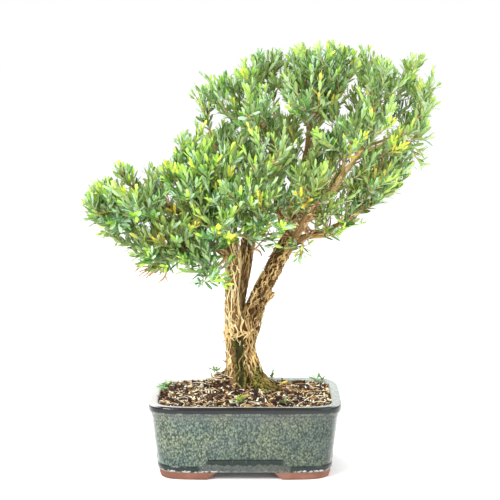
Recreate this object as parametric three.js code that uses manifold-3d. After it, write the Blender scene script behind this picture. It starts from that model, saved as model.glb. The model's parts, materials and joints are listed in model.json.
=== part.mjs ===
// A Chinese boxwood trained as a bonsai, in a glazed stoneware pot.
//
// Millimetres, +Z up. The tree and its pot are drawn about the middle of the pot's underside, with the
// pot's long side along X and its back towards +Y. At the end the whole object is moved sideways, so that
// the origin lies under the middle of its own box.

import * as THREE from "three";
import { mergeVertices } from "three/addons/utils/BufferGeometryUtils.js";
import Module from "manifold-3d";

const wasm = await Module();
wasm.setup();

const { lerp, clamp, smoothstep, degToRad } = THREE.MathUtils;
const UP = new THREE.Vector3(0, 0, 1);
const GAP = 0.3; // between pieces that touch
const BEYOND = 5; // how far a cutting shape runs past what it cuts

// The pot: a cut-foot rectangle with softly bowed sides, seen from above as a superellipse.
const POT = {
  power: 6.5, // of the superellipse: 2 is an ellipse, more is squarer
  points: 24, // round each outline
  rim: [134, 103], // half width and half depth, over the rim
  bodyTop: [130.5, 99.5],
  bodyBottom: [119.5, 89],
  height: 104,
  rimDrop: 10, // height of the rim's upright side
  rimSlope: 4, // height of the slope from the rim down to the body
  rimWidth: 13,
  rimRound: 2,
  wall: 10,
  floorTop: 20.5,
  footHeight: 11,
  footWall: 15,
  footTaper: 2,
  bandRise: 1.3, // the raised band round the base stands this proud of the body
  bandTop: 19,
  apronTop: 29, // the band steps up to this height along the middle of each side
  apronHalf: [56, 38], // half length of the step, on the long sides and on the short sides
  apronSlant: 5,
  footGapHalf: [40, 27], // half length of the opening between feet, at its top
  footGapSlant: 13,
  drainX: 62, // each drain hole is this far from the middle
  drainRadius: 11,
  drainSides: 12,
};
const SLOPE_FOOT = POT.height - POT.rimDrop - POT.rimSlope;

const SCREEN = { side: 31, thick: 1.2, hole: 5, pitch: 7.5, rows: 3 };

const SOIL = {
  edge: 97, // height at the pot's wall
  side: 84, // height where the plain side ends and the rough surface begins
  plateau: 108, // height of the flat round the trunk
  plateauRadius: 54,
  fallLength: 50, // from the plateau's edge to the level at the wall
  rings: 8,
  shrink: 0.94, // the rings inside the outermost are drawn in by this
  grain: 4.5, // depth of the gaps between chips
  calm: { edge: 0.3, plateau: 0.25 }, // the share of that depth along the wall and round the trunk
};

const TRUNK = {
  x: -6, y: 10, stub: 16, stubDepth: 38,
  ridge: 0.06, // the corners of a stem stand out and in by this share of its radius
  hollowSteps: 4,
};

// How many sides and steps each kind of wood has, and how many straight rods stand in for it where later
// pieces are tested for room.
const SIDES = { stub: 10, base: 12, stem: 8, snag: 6, limb: 4, root: 4, branch: 3, hollow: 7 };
const STEPS = { stem: 6, root: 3 };
const RODS = { limb: 8, branch: 3 };
const STRETCH_STEPS = 6; // between the points that a part of a branch is drawn through
const PARALLEL = 1e-9; // two rods are parallel where the square of their skew is less

const LEAF = {
  length: 22, width: 9,
  widest: 0.6, // the share of the length where the leaf is widest
  root: 2.6, // height of the root where it leaves the twig
  droop: 0.5, // the edges hang this far below the midrib
  size: [0.9, 1.08],
  reach: 3.4, // a leaf keeps other pieces this far from its midline
  midline: [0.3, 0.97], // the shares of its length where that holds
  bends: [0, 0.25, -0.25, 0.5, -0.5], // the turns that a leaf tries to get clear
};
const TWIG = {
  root: 2.8, cut: 1.9, // radius of a side branch where it leaves its limb and where its spray begins
  node: 3, // radius of a spray's twig where leaves stand
  shootRoot: 1.2, shootNode: 1.8,
  clear: 1.5, // how far the leaves of one twig keep from the next twig
};
const BRANCH = {
  starts: 24, // a limb is divided into this many steps, and a side branch leaves it at the end of one
  firstStart: 2,
  aheadGain: 0.55, // what a millimetre that lies ahead along the limb takes off the cost of a path
  shortCost: 4, // what a millimetre less than the shortest length adds to it
};
const SPRAY = {
  wood: 0.4, // the share of each side branch that is bare wood
  shortest: 84, // the least length of a side branch with its spray
  sag: 0.12, // how far a side branch hangs below the straight line, by share of its length
  leafBeyond: 18, // how far the leaves reach past the end of the twig
  rows: [0.18, 0.45, 0.72, 0.93], // where the leaves stand, by share of the spray's length
  shoots: 3,
  spread: [1.2, 0.45], // the angle between leaf and twig, from the lowest row to the bud
};
const SHOOT = {
  length: 20, foot: 3, angle: 0.95, row: 0.84, spread: 0.75,
  rise: 0.3, // how strongly a shoot turns up
  lean: 0.35, // the least that it leans out of its twig
  nearest: 0.2, // the share of it that may come near its own twig
  lowest: 1.1, shorter: 0.35, // its length at the foot of a spray, and how much less at the end
  vary: [0.85, 1.15],
  faceStep: 1.5, // how far round the next shoot stands, in faces of the twig
  radius: 2.4, // a shoot keeps other pieces this far from its middle
  swings: [0, 0.4, -0.4, 0.8, -0.8], // the sideways turns that a shoot tries to get clear
};

// The stems: points up the middle of each and the radius there, [x, y, z, radius].
const STEMS = {
  base: [[-6, 10, 102, 22], [-6, 10, 122, 20], [-5.5, 10, 150, 20], [-6.5, 10, 172, 20.5], [-6, 10, 187, 23],
    [-6, 10, 198, 20], [-6, 11, 212, 11]],
  left_front: [[-13, 7, 180, 13], [-17, 6, 205, 11], [-19, 6, 235, 9], [-17.5, 5, 263, 9.5],
    [-17, 2, 296, 10.5], [-19, -1, 322, 9], [-20, -3, 334, 5]],
  left_back: [[-6, 17, 185, 12], [-8, 20, 210, 9], [-7.5, 21, 235, 7.5], [-3, 22, 262, 7.5],
    [1, 24, 293, 9], [5, 26, 318, 9], [7, 28, 332, 5]],
  right: [[2, 12, 180, 14], [9, 12, 205, 14], [15, 12, 226, 12.5], [27, 12, 254, 11], [39, 11, 277, 10.5],
    [51, 10, 301, 11], [62, 8, 318, 11], [69, 7, 332, 6]],
};

// The limbs that fan out from the stems into the crown, [x, y, z, radius], and the tips of the leafy sprays
// that each one carries, [x, y, z].
const LIMBS = {
  left_low: {
    line: [[-19, 0, 296, 6], [-48, -8, 316, 4.5], [-90, -16, 313, 3.4]],
    sprays: [[-66, -72, 276], [-104, 22, 300], [-150, -50, 292]],
  },
  left_main: {
    line: [[-19, 2, 312, 7.5], [-46, 6, 340, 6], [-95, 8, 362, 4.8], [-150, 5, 375, 3]],
    sprays: [[-226, 4, 398], [-220, -46, 360], [-198, 16, 320], [-182, -24, 432],
      [-146, 44, 424], [-168, 84, 370], [-156, -82, 366]],
  },
  left_up: {
    line: [[-20, -2, 318, 6.5], [-36, -6, 358, 5], [-62, -6, 398, 3.8], [-92, 0, 424, 2.6]],
    sprays: [[-120, -28, 428], [-90, 14, 470], [-84, -84, 396], [-42, -78, 440], [-70, 96, 400]],
  },
  center_front: {
    line: [[-18, -2, 318, 5.5], [-12, -26, 350, 4.2], [2, -50, 382, 2.6]],
    sprays: [[-44, -104, 346], [0, -116, 384], [50, -98, 356], [44, -110, 452]],
  },
  back_left: {
    line: [[6, 27, 314, 6.5], [0, 42, 352, 5.2], [-14, 56, 400, 4], [-38, 50, 438, 2.8]],
    sprays: [[-68, 20, 538], [-62, 66, 478], [-24, 120, 436]],
  },
  center_up: {
    line: [[6, 27, 318, 6.5], [16, 30, 362, 5.4], [30, 30, 420, 4.2], [42, 26, 462, 3]],
    sprays: [[-32, 40, 554], [-6, -14, 580], [38, 30, 590], [6, -76, 508], [56, 122, 492]],
  },
  right_up: {
    line: [[64, 8, 318, 8], [72, 11, 362, 6.4], [82, 13, 420, 5], [92, 8, 486, 3.4]],
    sprays: [[78, 0, 598], [100, -52, 578], [142, 12, 594], [80, -88, 518], [126, 108, 534]],
  },
  right_mid: {
    line: [[66, 4, 322, 6.5], [95, -12, 360, 6], [127, -30, 403, 5.2], [154, -36, 439, 4.4],
      [182, -39, 454, 3.6], [214, -38, 470, 2.6]],
    sprays: [[200, -34, 580], [264, 0, 530], [242, -52, 456], [186, -92, 492], [134, -100, 478]],
  },
  right_back: {
    line: [[66, 12, 320, 6.5], [100, 34, 362, 5.4], [140, 54, 410, 4.2], [178, 54, 456, 3]],
    sprays: [[182, 54, 592], [240, 24, 574], [252, 50, 490], [184, 112, 476]],
  },
  right_low: {
    line: [[64, 4, 314, 7.5], [88, 2, 326, 5.6], [113, 0, 333, 4.6], [152, -4, 357, 3.4]],
    sprays: [[222, 6, 410], [172, 28, 348], [184, -74, 418], [146, -60, 344]],
  },
  right_front: {
    line: [[66, 0, 318, 5], [80, -28, 350, 4], [92, -54, 378, 2.6]],
    sprays: [[92, -118, 408]],
  },
  back: {
    line: [[62, 14, 314, 5.5], [50, 48, 354, 4.4], [44, 76, 388, 2.8]],
    sprays: [[24, 120, 414], [66, 106, 352]],
  },
};

// Surface roots: direction in degrees, reach and thickness of each.
const ROOTS = [[-8, 56, 11], [-38, 50, 10], [-78, 34, 8], [-128, 34, 8], [-172, 40, 10], [150, 36, 8],
  [95, 36, 9], [40, 44, 10]];
// How a root falls away from the trunk: share of its reach, height, share of its thickness.
const ROOT_FALL = [[0.1, 152, 0.7], [0.42, 128, 1], [0.66, 114, 0.8], [1, 107, 0.35]];

// Stumps of cut branches on the right stem, and the mossy hollow up the front of the trunk.
const SNAGS = [[[20, 9, 227, 6], [41, 5, 246, 3.2]], [[40, 9, 268, 4], [51.5, 6, 277, 2]]];
const HOLLOW = [[-10, -13, 192, 4], [-10, -12, 178, 6], [-8, -12, 150, 6.5], [-7, -13, 118, 3.5]];

const COLOUR = {
  glaze: 0x7f8b7f, plastic: 0x2b2b2b, soil: 0x5a4232, bark: 0xc6ac78, leaf: 0x7d9a58, youngLeaf: 0xa3b868,
};

const vec = ([x, y, z]) => new THREE.Vector3(x, y, z);
const upright = (x, y, z0, z1) => new THREE.LineCurve3(vec([x, y, z0]), vec([x, y, z1]));
const curveOf = (line) => new THREE.CatmullRomCurve3(line.map(vec), false, "centripetal");

// A number from 0 to 1 that looks random and is the same for the same keys.
function chance(...keys) {
  const sum = keys.reduce((total, key, i) => total + key * (12.9898 + 65.2357 * i), 0.5);
  const mixed = Math.sin(sum) * 43758.5453;
  return mixed - Math.floor(mixed);
}

// The radius along a list of [x, y, z, radius], by share of its length.
function radiusAlong(line) {
  const lengths = line.map((p, i) => (i ? vec(p).distanceTo(vec(line[i - 1])) : 0));
  const total = lengths.reduce((sum, l) => sum + l, 0);
  return (t) => {
    let left = t * total;
    let i = 1;
    while (i < line.length - 1 && left > lengths[i]) left -= lengths[i++];
    return lerp(line[i - 1][3], line[i][3], Math.min(1, left / lengths[i]));
  };
}

// A closed surface of points and triangles, and a three.js geometry, as solids that can be joined and cut.
function solidOf(points, triangles) {
  const vertProperties = new Float32Array(points.flatMap((p) => [p.x, p.y, p.z]));
  const triVerts = new Uint32Array(triangles.flat());
  return new wasm.Manifold(new wasm.Mesh({ numProp: 3, vertProperties, triVerts }));
}

function solidFrom(geometry) {
  geometry.deleteAttribute("normal");
  geometry.deleteAttribute("uv");
  const { attributes, index } = mergeVertices(geometry);
  const [vertProperties, triVerts] = [attributes.position.array, new Uint32Array(index.array)];
  return new wasm.Manifold(new wasm.Mesh({ numProp: 3, vertProperties, triVerts }));
}

// A solid without the slivers that a join of many pieces can leave.
function largestBody(solid) {
  return solid.decompose().reduce((best, body) => (body.volume() > best.volume() ? body : best));
}

const cutAll = (solid, cuts) => cuts.reduce((rest, cut) => rest.subtract(cut), solid);

// The solid through rings of points, all of one count and anticlockwise about the way that they follow.
function loft(rings) {
  const n = rings[0].length;
  const triangles = [];
  for (let k = 0; k + 1 < rings.length; k++) {
    for (let i = 0; i < n; i++) {
      const [a, b] = [k * n + i, k * n + ((i + 1) % n)];
      triangles.push([a, b, b + n], [a, b + n, a + n]);
    }
  }
  const last = (rings.length - 1) * n;
  for (let i = 1; i + 1 < n; i++) triangles.push([0, i + 1, i], [last, last + i, last + i + 1]);
  return solidOf(rings.flat(), triangles);
}

// A tapered tube along a curve. ridge(i) scales the radius of its side i.
function tube(curve, radiusAt, sides, steps, ridge = () => 1) {
  const { tangents, normals, binormals } = curve.computeFrenetFrames(steps, false);
  return loft(tangents.map((_, k) => {
    const middle = curve.getPointAt(k / steps);
    return Array.from({ length: sides }, (_, i) => {
      const angle = (i / sides) * 2 * Math.PI;
      const radius = radiusAt(k / steps) * ridge(i);
      return middle.clone().addScaledVector(normals[k], radius * Math.cos(angle))
        .addScaledVector(binormals[k], radius * Math.sin(angle));
    });
  }));
}

// A block about x, y that stands on z0, and a prism through an outline of [across, z] that runs along Y,
// or along X where it is turned.
function block(x, y, width, depth, z0, z1) {
  return solidFrom(new THREE.BoxGeometry(width, depth, z1 - z0).translate(x, y, (z0 + z1) / 2));
}

function prism(outline, length, turned) {
  const shape = new THREE.Shape(outline.map(([across, z]) => new THREE.Vector2(across, z)));
  const geometry = new THREE.ExtrudeGeometry(shape, { depth: length, bevelEnabled: false });
  geometry.translate(0, 0, -length / 2).rotateX(Math.PI / 2).rotateZ(turned ? Math.PI / 2 : 0);
  return solidFrom(geometry);
}

// An outline of the pot at one height.
function potRing([halfWidth, halfDepth], z, inset = 0) {
  const squared = (v) => Math.sign(v) * Math.abs(v) ** (2 / POT.power);
  return Array.from({ length: POT.points }, (_, i) => {
    const angle = (i / POT.points) * 2 * Math.PI;
    const [across, back] = [squared(Math.cos(angle)), squared(Math.sin(angle))];
    return vec([(halfWidth - inset) * across, (halfDepth - inset) * back, z]);
  });
}

// Half width and half depth of the pot's body at a height.
function bodyAt(z) {
  const t = (z - POT.footHeight) / (SLOPE_FOOT - POT.footHeight);
  return [0, 1].map((k) => lerp(POT.bodyBottom[k], POT.bodyTop[k], t));
}

function makePot() {
  const outside = loft([
    potRing(POT.bodyBottom, 0, POT.footTaper),
    potRing(POT.bodyBottom, POT.footHeight / 2),
    potRing(bodyAt(SLOPE_FOOT), SLOPE_FOOT),
    potRing(POT.rim, SLOPE_FOOT + POT.rimSlope),
    potRing(POT.rim, POT.height - POT.rimRound),
    potRing(POT.rim, POT.height, POT.rimRound),
  ]);
  const inside = loft([
    potRing(POT.bodyBottom, POT.floorTop, POT.wall),
    potRing(bodyAt(SLOPE_FOOT), SLOPE_FOOT, POT.wall),
    potRing(POT.rim, POT.height, POT.rimWidth),
    potRing(POT.rim, POT.height + BEYOND, POT.rimWidth),
  ]);

  // The band round the base, and the taller apron along the middle of each side.
  const reach = 2 * POT.rim[0] + BEYOND;
  const proud = (z) => bodyAt(z).map((half) => half + POT.bandRise);
  const girdle = (z) => loft([potRing(proud(POT.footHeight), POT.footHeight), potRing(proud(z), z)]);
  const apronOutline = (half) => [[-half, POT.footHeight], [half, POT.footHeight], [half, POT.bandTop],
    [half - POT.apronSlant, POT.apronTop], [POT.apronSlant - half, POT.apronTop], [-half, POT.bandTop]];
  const aprons = POT.apronHalf.map((half, k) => prism(apronOutline(half), reach, k === 1));
  const apron = girdle(POT.apronTop + BEYOND).intersect(aprons[0].add(aprons[1]));

  // The openings between the feet, the recess that leaves the feet as a wall, and the drain holes.
  const gapOutline = (half) => [[-half - POT.footGapSlant, 0], [-half - POT.footGapSlant, -BEYOND],
    [half + POT.footGapSlant, -BEYOND], [half + POT.footGapSlant, 0], [half, POT.footHeight],
    [-half, POT.footHeight]];
  const gaps = POT.footGapHalf.map((half, k) => prism(gapOutline(half), reach, k === 1));
  const recess = loft([potRing(POT.bodyBottom, -BEYOND, POT.footWall),
    potRing(POT.bodyBottom, POT.footHeight, POT.footWall)]);
  const drains = [-POT.drainX, POT.drainX].map((x) => (
    tube(upright(x, 0, 0, POT.floorTop + BEYOND), () => POT.drainRadius, POT.drainSides, 1)));
  return cutAll(outside.add(girdle(POT.bandTop)).add(apron), [inside, ...gaps, recess, ...drains]);
}

// A piece of plastic mesh that keeps the soil from running out of a drain hole.
function makeScreen(x) {
  const bottom = POT.floorTop + GAP;
  const top = bottom + SCREEN.thick;
  const places = Array.from({ length: SCREEN.rows }, (_, i) => (i - (SCREEN.rows - 1) / 2) * SCREEN.pitch);
  const holes = places.flatMap((dx) => places.map((dy) => (
    block(x + dx, dy, SCREEN.hole, SCREEN.hole, bottom - BEYOND, top + BEYOND))));
  return cutAll(block(x, 0, SCREEN.side, SCREEN.side, bottom, top), holes);
}

// Soil that fills the pot, flat round the trunk and falling to the wall, with a surface of coarse chips.
function makeSoil() {
  const wallAt = (z) => {
    const t = (z - POT.floorTop) / (SLOPE_FOOT - POT.floorTop);
    const high = bodyAt(SLOPE_FOOT);
    return [0, 1].map((k) => lerp(POT.bodyBottom[k], high[k], t) - POT.wall - GAP);
  };
  const foot = potRing(wallAt(POT.floorTop), POT.floorTop + GAP);
  const side = potRing(wallAt(SOIL.side), SOIL.side);
  const rough = Array.from({ length: SOIL.rings + 1 }, (_, k) => side.map((p, i) => {
    const share = (1 - k / (SOIL.rings + 1)) * (k ? SOIL.shrink : 1);
    const next = side[(i + 1) % side.length];
    const at = p.clone().lerp(next, k % 2 ? 0.5 : 0).multiplyScalar(share);
    const away = Math.hypot(at.x - TRUNK.x, at.y - TRUNK.y);
    const fall = smoothstep(away, SOIL.plateauRadius, SOIL.plateauRadius + SOIL.fallLength);
    const depth = SOIL.grain * (k ? lerp(SOIL.calm.plateau, 1, fall) : SOIL.calm.edge);
    return at.setZ(lerp(SOIL.plateau, SOIL.edge, fall) - depth * chance(i, k));
  }));
  const bottom = SOIL.plateau - TRUNK.stubDepth - GAP;
  const hole = tube(upright(TRUNK.x, TRUNK.y, bottom, SOIL.plateau + BEYOND), () => TRUNK.stub + 1.5 * GAP,
    SIDES.stub, 1);
  const width = SCREEN.side + 2 * GAP;
  const pockets = [-POT.drainX, POT.drainX].map((x) => (
    block(x, 0, width, width, POT.floorTop - BEYOND, POT.floorTop + SCREEN.thick + 2 * GAP)));
  return cutAll(loft([foot, side, ...rough]), [hole, ...pockets]);
}

// What later pieces must stay clear of: rods of wood and leaf, {a, b, radius, owner, twig, blade}.
const rods = [];

function distanceBetween(one, other) {
  const [u, v, w] = [one.b.clone().sub(one.a), other.b.clone().sub(other.a), one.a.clone().sub(other.a)];
  const [a, b, c, d, e] = [u.dot(u), u.dot(v), v.dot(v), u.dot(w), v.dot(w)];
  const skew = a * c - b * b;
  let s = skew > PARALLEL ? clamp((b * e - c * d) / skew, 0, 1) : 0;
  let t = (b * s + e) / c;
  if (t < 0) [s, t] = [clamp(-d / a, 0, 1), 0];
  if (t > 1) [s, t] = [clamp((b - d) / a, 0, 1), 1];
  return w.addScaledVector(u, s).addScaledVector(v, -t).length();
}

// True if an edge of one leaf's blade, [foot, left, right, tip], passes through the other's.
function bladesCross(one, other) {
  const pierces = ([foot, left, right, tip], blade) => {
    const edges = [[foot, left], [left, tip], [tip, right], [right, foot], [foot, tip]];
    return edges.some(([from, to]) => {
      const ray = new THREE.Ray(from, to.clone().sub(from).normalize());
      return [[blade[0], blade[1], blade[3]], [blade[0], blade[3], blade[2]]].some((corners) => {
        const hit = ray.intersectTriangle(...corners, false, new THREE.Vector3());
        return hit && hit.distanceTo(from) < to.distanceTo(from);
      });
    });
  };
  return pierces(one, other) || pierces(other, one);
}

// True if a rod keeps clear of the other pieces, and of the other twigs and leaves of its own spray.
function isClear(rod) {
  return rods.every((other) => {
    if (other.owner !== rod.owner) return distanceBetween(rod, other) > rod.radius + other.radius + 2 * GAP;
    if (rod.blade && other.blade) return !bladesCross(rod.blade, other.blade);
    if (other.twig === rod.twig || (!rod.blade && other.twig === "axis")) return true;
    return distanceBetween(rod, other) > (rod.blade ? other.radius : rod.radius) + TWIG.clear;
  });
}

function addRods(curve, radiusAt, steps, owner) {
  for (let k = 0; k < steps; k++) {
    const [a, b] = [k / steps, (k + 1) / steps].map((t) => curve.getPointAt(t));
    rods.push({ a, b, radius: radiusAt((k + 0.5) / steps), owner });
  }
}

// Part of a side branch: its bare foot, which is the tree's wood, or its leafy end, which is a spray.
function stretchOf(path, from, to) {
  const points = Array.from({ length: STRETCH_STEPS + 1 }, (_, k) => (
    path.getPointAt(lerp(from, to, k / STRETCH_STEPS))));
  return new THREE.CatmullRomCurve3(points, false, "centripetal");
}

const branchRadius = (t) => lerp(TWIG.root, TWIG.cut, t);

// The rods of a spray's own twig, which is the last stretch of its branch's path.
function axisRods(path, owner) {
  return Array.from({ length: RODS.branch }, (_, k) => {
    const [a, b] = [k, k + 1].map((step) => path.getPointAt(lerp(SPRAY.wood, 1, step / RODS.branch)));
    return { a, b, radius: TWIG.node, owner, twig: "axis" };
  });
}

// The path of a side branch: it leaves its limb where the tip lies well ahead, sags a little and turns up.
function branchPath(limb, tip, owner) {
  const paths = Array.from({ length: BRANCH.starts - BRANCH.firstStart + 1 }, (_, k) => {
    const share = (BRANCH.firstStart + k) / BRANCH.starts;
    const from = limb.getPointAt(share);
    const away = tip.clone().sub(from);
    const reach = away.length();
    const end = tip.clone().lerp(from, SPRAY.leafBeyond / reach);
    const middle = from.clone().lerp(end, 0.5).addScaledVector(UP, -SPRAY.sag * reach);
    const ahead = away.dot(limb.getTangentAt(share));
    const short = Math.max(0, SPRAY.shortest - reach);
    const cost = reach - BRANCH.aheadGain * ahead + BRANCH.shortCost * short;
    return { cost, path: new THREE.QuadraticBezierCurve3(from, middle, end) };
  });
  paths.sort((one, other) => one.cost - other.cost);
  return (paths.find(({ path }) => axisRods(path, owner).every(isClear)) ?? paths[0]).path;
}

const limbs = Object.entries(LIMBS).map(([name, limb]) => ({ name, ...limb, curve: curveOf(limb.line) }));
for (const line of [...Object.values(STEMS), ...limbs.map((limb) => limb.line)]) {
  addRods(curveOf(line), radiusAlong(line), RODS.limb, "wood");
}
const branches = limbs.flatMap((limb, l) => limb.sprays.map((tip, i) => {
  const name = `spray_${limb.name}_${i + 1}`;
  const path = branchPath(limb.curve, vec(tip), name);
  addRods(stretchOf(path, 0, SPRAY.wood), branchRadius, RODS.branch, "wood");
  rods.push(...axisRods(path, name));
  return { name, seed: 10 * l + i, path };
}));

function makeRoot([degrees, reach, thick]) {
  const line = ROOT_FALL.map(([share, z, part]) => {
    const [cos, sin] = [Math.cos(degToRad(degrees)), Math.sin(degToRad(degrees))];
    return [TRUNK.x + reach * share * cos, TRUNK.y + reach * share * sin, z, thick * part];
  });
  return tube(curveOf(line), radiusAlong(line), SIDES.root, STEPS.root);
}

// All the wood: the roots that show, the stems, the limbs and the bare feet of the side branches.
function makeTrunk() {
  const along = (line, sides, steps, ridge) => tube(curveOf(line), radiusAlong(line), sides, steps, ridge);
  const ridge = (i) => 1 + (i % 2 ? TRUNK.ridge : -TRUNK.ridge);
  const above = wasm.Manifold.union([
    ...Object.entries(STEMS).map(([name, line]) => along(line, SIDES[name] ?? SIDES.stem, STEPS.stem, ridge)),
    ...ROOTS.map(makeRoot),
    ...SNAGS.map((line) => along(line, SIDES.snag, 1)),
    ...limbs.map(({ line }) => along(line, SIDES.limb, line.length)),
    ...branches.map(({ path }) => tube(stretchOf(path, 0, SPRAY.wood), branchRadius, SIDES.branch, 1)),
  ]);
  const width = 4 * SOIL.plateauRadius; // wider than the roots reach
  const below = block(TRUNK.x, TRUNK.y, width, width, POT.floorTop, SOIL.plateau + GAP);
  const stub = tube(upright(TRUNK.x, TRUNK.y, SOIL.plateau - TRUNK.stubDepth, SOIL.plateau + BEYOND),
    () => TRUNK.stub, SIDES.stub, 1);
  return largestBody(cutAll(above, [below, along(HOLLOW, SIDES.hollow, TRUNK.hollowSteps)]).add(stub));
}

// A surface that grows point by point, with its faces turned outwards.
class Skin {
  points = [];
  faces = [];

  add(...points) {
    return points.map((point) => this.points.push(point) - 1);
  }

  // Draws a leaf out of the face a, b, m, where a to b is its lower edge and m the top of its root.
  growLeaf([a, b, m], [left, right, tip]) {
    const [L, R, T] = this.add(left, right, tip);
    this.faces.push([a, b, R], [a, R, L], [L, R, T], [b, m, R], [m, T, R], [m, a, L], [m, L, T]);
  }
}

// Where a leaf's left edge, right edge and tip lie, or nothing if the leaf would meet something.
function leafPoints(foot, axis, out, { spread, size }, keys) {
  const side = new THREE.Vector3().crossVectors(axis, out);
  const length = LEAF.length * size;
  for (const bend of LEAF.bends) {
    const angle = spread + bend;
    const along = axis.clone().multiplyScalar(Math.cos(angle)).addScaledVector(out, Math.sin(angle));
    const at = (share) => foot.clone().addScaledVector(along, share * length);
    const under = new THREE.Vector3().crossVectors(side, along).multiplyScalar(-LEAF.droop);
    const edge = (half) => at(LEAF.widest).addScaledVector(side, half * LEAF.width * size).add(under);
    const points = [edge(-0.5), edge(0.5), at(1)];
    const [a, b] = LEAF.midline.map(at);
    const rod = { a, b, radius: LEAF.reach * size, blade: [foot, ...points], ...keys };
    if (!isClear(rod)) continue;
    rods.push(rod);
    return points;
  }
  return null;
}

// Grows a four-sided twig along a curve, from a ring of four points or from its own cut end, to a bud. Each
// row has its place t, the spread of its leaves and the side shoot on one of its faces, if any. The other
// faces bear leaves: two pairs, crossed. Each ring stands half a face round from the one below.
function growTwig(skin, { start, curve, down, radiusAt, rows, owner, twig }) {
  const frames = [0, ...rows.map(({ t }) => t)].map((t, k) => {
    const along = curve.getTangentAt(t);
    const across = down.clone().addScaledVector(along, -down.dot(along)).normalize();
    const outAt = (j) => across.clone().applyAxisAngle(along, (j + (k - 1) / 2) * (Math.PI / 2));
    return { along, middle: curve.getPointAt(t), radius: radiusAt(t), outAt };
  });
  const corners = ({ middle, radius, outAt }) => [0, 1, 2, 3].map((j) => (
    middle.clone().addScaledVector(outAt(j), radius)));
  const rings = frames.map((frame, k) => (k === 0 && start) || skin.add(...corners(frame)));
  const [bud] = skin.add(curve.getPointAt(1));
  const [p, q, r, s] = rings[0];
  if (!start) skin.faces.push([p, r, q], [p, s, r]);
  rings.forEach((ring, k) => {
    const { along, middle, radius, outAt } = frames[k];
    const { spread, shoot } = rows[k - 1] ?? {};
    ring.forEach((a, j) => {
      const [b, above] = [ring[(j + 1) % 4], rings[k + 1]];
      const top = above ? above[j] : bud;
      if (above) skin.faces.push([top, b, above[(j + 1) % 4]]);
      const out = outAt(j + 0.5);
      const foot = middle.clone().addScaledVector(out, radius * Math.SQRT1_2);
      if (shoot?.face === j && growShoot(skin, [a, b, top], foot, along, out, shoot, owner)) return;
      const size = lerp(...LEAF.size, chance(foot.x, foot.z));
      const leaf = spread && leafPoints(foot, along, out, { spread, size }, { owner, twig });
      if (!leaf) {
        skin.faces.push([a, b, top]);
      } else if (above) {
        const [m] = skin.add(foot.addScaledVector(along, LEAF.root));
        skin.faces.push([b, top, m], [top, a, m]);
        skin.growLeaf([a, b, m], leaf);
      } else {
        skin.growLeaf([a, b, bud], leaf);
      }
    });
  });
}

// Grows a side shoot out of the face a, b, top of a twig, if there is room for it.
function growShoot(skin, [a, b, top], foot, axis, out, { reach, key }, owner) {
  const side = new THREE.Vector3().crossVectors(axis, out);
  const from = foot.clone().addScaledVector(axis, SHOOT.foot);
  const twig = `shoot ${key}`;
  for (const swing of SHOOT.swings) {
    const along = axis.clone().multiplyScalar(Math.cos(SHOOT.angle))
      .addScaledVector(out, Math.sin(SHOOT.angle)).addScaledVector(side, swing)
      .addScaledVector(UP, SHOOT.rise).normalize();
    const to = from.clone().addScaledVector(along, reach);
    const rod = { a: from.clone().lerp(to, SHOOT.nearest), b: to, radius: SHOOT.radius, owner, twig };
    if (along.dot(out) < SHOOT.lean || !isClear(rod)) continue;
    rods.push(rod);
    const half = TWIG.shootRoot * Math.SQRT1_2;
    const start = skin.add(...[[-half, -half], [-half, half], [half, half], [half, -half]]
      .map(([up, over]) => from.clone().addScaledVector(axis, up).addScaledVector(side, over)));
    const [p, q, r, s] = start;
    skin.faces.push([a, b, q], [a, q, p], [b, top, r], [b, r, q], [top, s, r], [top, a, s], [a, p, s]);
    growTwig(skin, {
      start, curve: new THREE.LineCurve3(from, to), down: axis.clone().negate(), owner, twig,
      radiusAt: () => TWIG.shootNode, rows: [{ t: SHOOT.row, spread: SHOOT.spread }],
    });
    return true;
  }
  return false;
}

// A leafy spray: a twig that carries on from its branch, with rows of leaves and a side shoot on most rows.
function makeSpray({ name, seed, path }) {
  const rows = SPRAY.rows.map((t, k) => {
    const reach = SHOOT.length * (SHOOT.lowest - SHOOT.shorter * t) * lerp(...SHOOT.vary, chance(seed, k));
    const shoot = { face: Math.floor(4 * chance(seed, 9) + SHOOT.faceStep * k) % 4, reach, key: k };
    return { t, spread: lerp(...SPRAY.spread, t), shoot: k < SPRAY.shoots && shoot };
  });
  const skin = new Skin();
  growTwig(skin, {
    curve: stretchOf(path, SPRAY.wood + GAP / path.getLength(), 1), down: UP.clone().negate(),
    radiusAt: (t) => (t ? TWIG.node : TWIG.cut), rows, owner: name, twig: "axis",
  });
  return solidOf(skin.points, skin.faces);
}

function meshOf(name, solid, color, roughness) {
  const { vertProperties, triVerts } = solid.getMesh();
  const geometry = new THREE.BufferGeometry()
    .setAttribute("position", new THREE.BufferAttribute(vertProperties, 3))
    .setIndex(new THREE.BufferAttribute(triVerts, 1)).toNonIndexed();
  geometry.computeVertexNormals();
  const mesh = new THREE.Mesh(geometry, new THREE.MeshStandardMaterial({ color, roughness, metalness: 0 }));
  mesh.name = name;
  return mesh;
}

const bonsai = new THREE.Group();
bonsai.add(
  meshOf("pot", makePot(), COLOUR.glaze, 0.25),
  meshOf("drain_screen_left", makeScreen(-POT.drainX), COLOUR.plastic, 0.6),
  meshOf("drain_screen_right", makeScreen(POT.drainX), COLOUR.plastic, 0.6),
  meshOf("soil", makeSoil(), COLOUR.soil, 0.95),
  meshOf("trunk", makeTrunk(), COLOUR.bark, 0.85),
  ...branches.map((branch) => {
    const color = chance(branch.seed, 3) < 0.5 ? COLOUR.leaf : COLOUR.youngLeaf;
    return meshOf(branch.name, makeSpray(branch), color, 0.6);
  }),
);

// The origin lies under the middle of the object's box.
const box = new THREE.Box3().setFromObject(bonsai);
const middle = box.getCenter(new THREE.Vector3());
bonsai.position.set(-middle.x, -middle.y, -box.min.z);

export default bonsai;
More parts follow.
